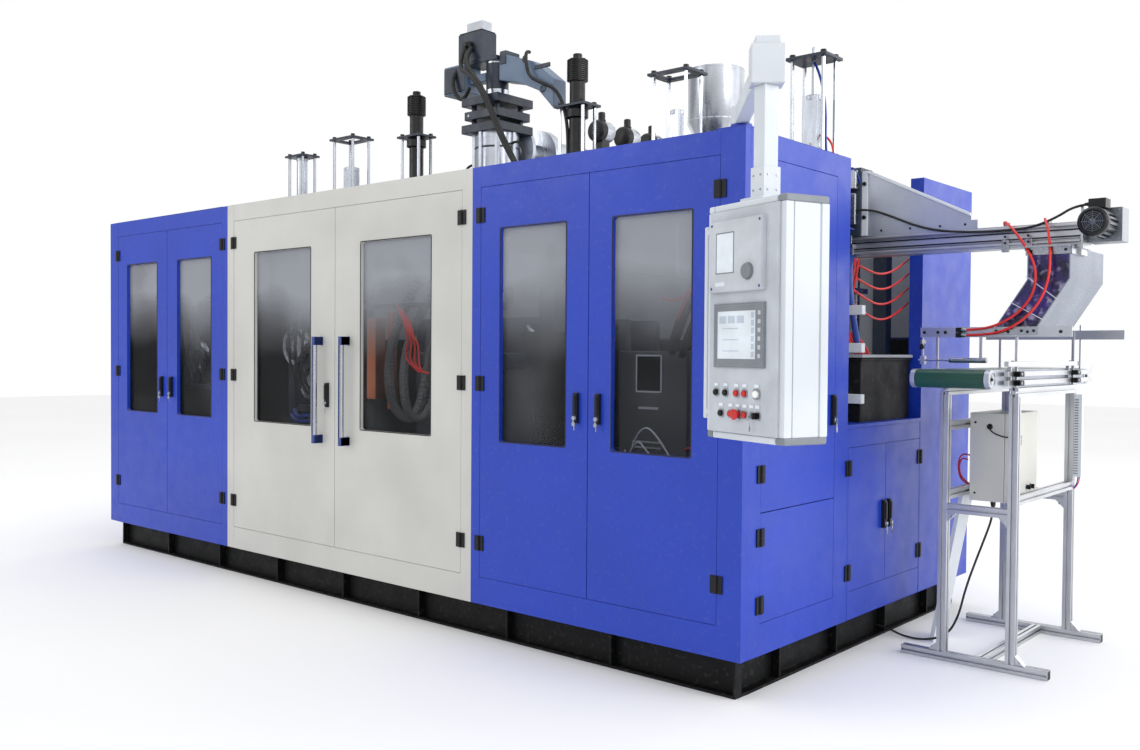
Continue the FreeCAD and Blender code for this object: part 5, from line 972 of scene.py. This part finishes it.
# ---------- seals, locks, keys and handle trim of the doors
WINDOWS = [("left_door_left", -2414.5), ("left_door_right", -1657.5), ("centre_door_left", -567),
           ("centre_door_right", 567), ("right_door_left", 1657.5), ("right_door_right", 2414.5)]
LOCKS = [("left_door_left", -2106), ("left_door_right", -1966), ("centre_door_left", -70),
         ("right_door_left", 1966), ("right_door_right", 2106)]
for name, middle in WINDOWS:
    wide = 640 if name.startswith("centre") else 470
    part([surround(wide, 1134, 6, 2.4, 10, (middle, -1319, 1639), 0)], f"{name}_seal", "rubber", 0.4,
         f"{name}_body")


def lock_parts():
    """A swing-handle lock drawn about its middle: barrel and keys, then housing and handle."""
    return ([turned([(0, 11), (6, 11), (7, 9.6), (12, 9.6), (12, 7)], (0, -18, 26), FRONT, 24),
             outline([(-1.4, 0), (1.4, 0), (2.4, -12), (9, -20), (8, -34), (-8, -34), (-9, -20), (-2.4, -12)], 2,
                     (0, -27, 22), 12),
             outline([(-3.6, 0), (3.6, 0), (3.6, -24), (1, -28), (-3.6, -24)], 1.6, (5, -26, -8), -16)],
            [plate(28, 150, 9, 6, [(3, 3)], (0, -9, 75), 0), plate(20, 96, 6, 8, [(3, 3)], (0, -18, 92), 0)])


def at_door(piece, x, y, z, turn):
    """Puts a piece of a lock on its door, turned from the front."""
    piece.rotation_euler = (0, 0, math.radians(turn))
    piece.location = (x * MM, y * MM, z * MM)
    return settle(piece)


for name, x, y, z, turn in ([(name, x, -1320, 1200, 0) for name, x in LOCKS]
                            + [("end_door_upper", 2920, -495, 1200, 90), ("cabinet_door_left", 2920, 98.5, 620, 90),
                               ("cabinet_door_right", 2920, 161.5, 620, 90)]):
    keys, body = lock_parts()
    part([at_door(piece, x, y, z, turn) for piece in keys], f"{name}_keys", "plated", 0, f"{name}_body")
    part([at_door(piece, x, y, z, turn) for piece in body], f"{name}_lock", "motor", 0.8, f"{name}_body")
for side in (-1, 1):
    name = "centre_door_left" if side < 0 else "centre_door_right"
    x = side * 135
    part([block((x - 15, -1386, z), (x + 15, -1320, z + 52)) for z in (974, 1584)]
         + [block((x - 15, -1386, 1026), (x - 11, -1356, 1584))], f"{name}_handle_ends", "blue_cap", 6,
         f"{name}_body", name)
    part([turned([(0, 14), (558, 14)], (x, -1370, 1026), UP, 40)], f"{name}_handle_tube", "plated", 0,
         f"{name}_body")

# ---------- cords
CORDS = {
    "air_hose_a": [(3530, 159.6, 2203), (3530, 116, 2204), (3556, 60, 2214), (3622, 6, 2152),
                   (3694, -44, 2066), (3744, -62, 1968), (3740, -62, 1856), (3676, -54, 1764),
                   (3576, -46, 1702), (3470, -40, 1676), (3388.4, -40, 1676)],
    "air_hose_b": [(3728, 159.6, 2203), (3728, 116, 2204), (3742, 58, 2218), (3780, -6, 2150),
                   (3804, -52, 2044), (3808, -68, 1930), (3774, -68, 1816), (3694, -62, 1722),
                   (3586, -50, 1664), (3476, -42, 1650), (3388.4, -40, 1650)],
    "beam_cable": [(2770.4, 48, 2330), (2850, 48, 2328), (2960, 52, 2286), (3090, 60, 2226),
                   (3230, 67, 2186), (3380, 69, 2172), (3530, 69, 2168), (3680, 67, 2172),
                   (3800, 52, 2212), (3880, 44, 2258), (3946.6, 44, 2262)],
    "stand_cable": [(3400, 400, 765), (3400, 400, 700), (3372, 372, 590), (3334, 330, 450),
                    (3300, 290, 310), (3276, 268, 170), (3220, 262, 60), (3100, 264, 9),
                    (2970, 266, 9), (2880, 267, 40), (2811, 267, 46)],
}


CORD_RADIUS = 0.006


def push_fitting(name, at, along):
    """A push-in air fitting: hexagon, barrel and release ring, open end facing the hose."""
    nut = turned([(0, 12.5), (9, 12.5)], at, along, sides=6)
    barrel = turned([(9, 10.5), (20, 10.5), (20.5, 8.6), (24, 8.6)], at, along, sides=32)
    return fit(soften(join([nut, barrel]), 0.5), name, "plated", "machine")


def cord(name, finish, node):
    """A hose or cable that stays a curve, on the fixed machine."""
    points = [Vector(p) * MM for p in CORDS[name]]
    piece = strand(name, points, CORD_RADIUS, 3, 10)
    piece.data.materials.append(FINISHES[finish])
    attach(piece, "machine")
    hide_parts(node)


for mark, upper, lower, length in (("a", (3530, 160, 2203), (3388, -40, 1676), 0.966),
                                   ("b", (3728, 160, 2203), (3388, -40, 1650), 0.991)):
    ends = [push_fitting(f"air_fitting_{mark}_upper", upper, FRONT),
            push_fitting(f"air_fitting_{mark}_lower", lower, RIGHT)]
    cord(f"air_hose_{mark}", "red_hose", "air_hoses")
cord("beam_cable", "rubber", "black_cables")
cord("stand_cable", "rubber", "black_cables")


# ---------- floor, light and camera
FLOOR_DROP = 0.0005
REFLECTED = (0.55, 1.6)


def stage():
    """A pale floor, and a world that is plain white to the camera and varies softly in reflections."""
    clear()
    bpy.ops.mesh.primitive_plane_add(size=60, location=(0, 0, -FLOOR_DROP))
    floor = settle(bpy.context.object)
    floor.name = "studio_floor"
    mix = Mix("floor")
    mix.paint(mix.ramp(mix.noise(0.4, 2), colour(247, 247, 247), colour(249, 249, 249))).rough(0.75, 0.9)
    floor.data.materials.append(mix.material)
    world = bpy.data.worlds.new("studio")
    world.use_nodes = True
    tree = world.node_tree
    sight, place, seen = (add_node(tree, kind) for kind in ("LightPath", "TexCoord", "Mix"))
    softbox = add_node(tree, "TexNoise", Scale=1.5, Detail=1)
    tone = add_node(tree, "MapRange", From_Min=0.36, From_Max=0.64, To_Min=REFLECTED[0], To_Max=REFLECTED[1])
    seen.inputs[3].default_value = 1.0
    tree.links.new(place.outputs["Generated"], softbox.inputs["Vector"])
    tree.links.new(softbox.outputs["Fac"], tone.inputs["Value"])
    tree.links.new(sight.outputs["Is Camera Ray"], seen.inputs[0])
    tree.links.new(tone.outputs["Result"], seen.inputs[2])
    tree.links.new(seen.outputs[0], tree.nodes["Background"].inputs["Strength"])
    tree.nodes["Background"].inputs["Color"].default_value = (1, 1, 1, 1)
    bpy.context.scene.world = world
    bpy.context.scene.view_settings.view_transform = "Standard"


def lamp(name, at, aim, size, watts):
    data = bpy.data.lights.new(name, "AREA")
    data.shape = "RECTANGLE"
    data.size, data.size_y = size
    data.energy = watts
    lamp_object = bpy.data.objects.new(name, data)
    bpy.context.collection.objects.link(lamp_object)
    lamp_object.location = at
    lamp_object.rotation_euler = (Vector(aim) - Vector(at)).to_track_quat("-Z", "Y").to_euler()


SENSOR = 36
FOCAL_IN_WIDTHS = 1066.5 / 1140  # in pixels of the photograph
CAMERA_AT = (5.400, -5.326, 1.552)
CAMERA_TURN = (40.989, 1.233, 0.414)


def camera():
    """The camera solved from the photograph's straight edges: yaw, pitch down and roll in degrees."""
    yaw, pitch, roll = (math.radians(angle) for angle in CAMERA_TURN)
    ahead = Vector((-math.sin(yaw) * math.cos(pitch), math.cos(yaw) * math.cos(pitch), -math.sin(pitch)))
    right = Vector((math.cos(yaw), math.sin(yaw), 0))
    up = right.cross(ahead)
    data = bpy.data.cameras.new("photo_view")
    data.sensor_width = SENSOR
    data.lens = FOCAL_IN_WIDTHS * SENSOR
    view = bpy.data.objects.new("photo_view", data)
    bpy.context.collection.objects.link(view)
    axes = (right * math.cos(roll) + up * math.sin(roll), up * math.cos(roll) - right * math.sin(roll), -ahead)
    view.matrix_world = Matrix.Translation(CAMERA_AT) @ Matrix(axes).transposed().to_4x4()
    bpy.context.scene.camera = view


stage()
lamp("key", (11.5, 0.5, 5.5), (2.9, 0, 1.5), (5, 4), 290)
lamp("end_veil", (9.4, 7.2, 3.4), (2.9, 0, 1.5), (10, 7), 210)
lamp("front_veil", (-6.5, -8.5, 5.6), (-1, -1.3, 2.2), (7, 3), 150)
lamp("top", (0, 1, 9.5), (0, 0, 1), (8, 5), 160)
camera()
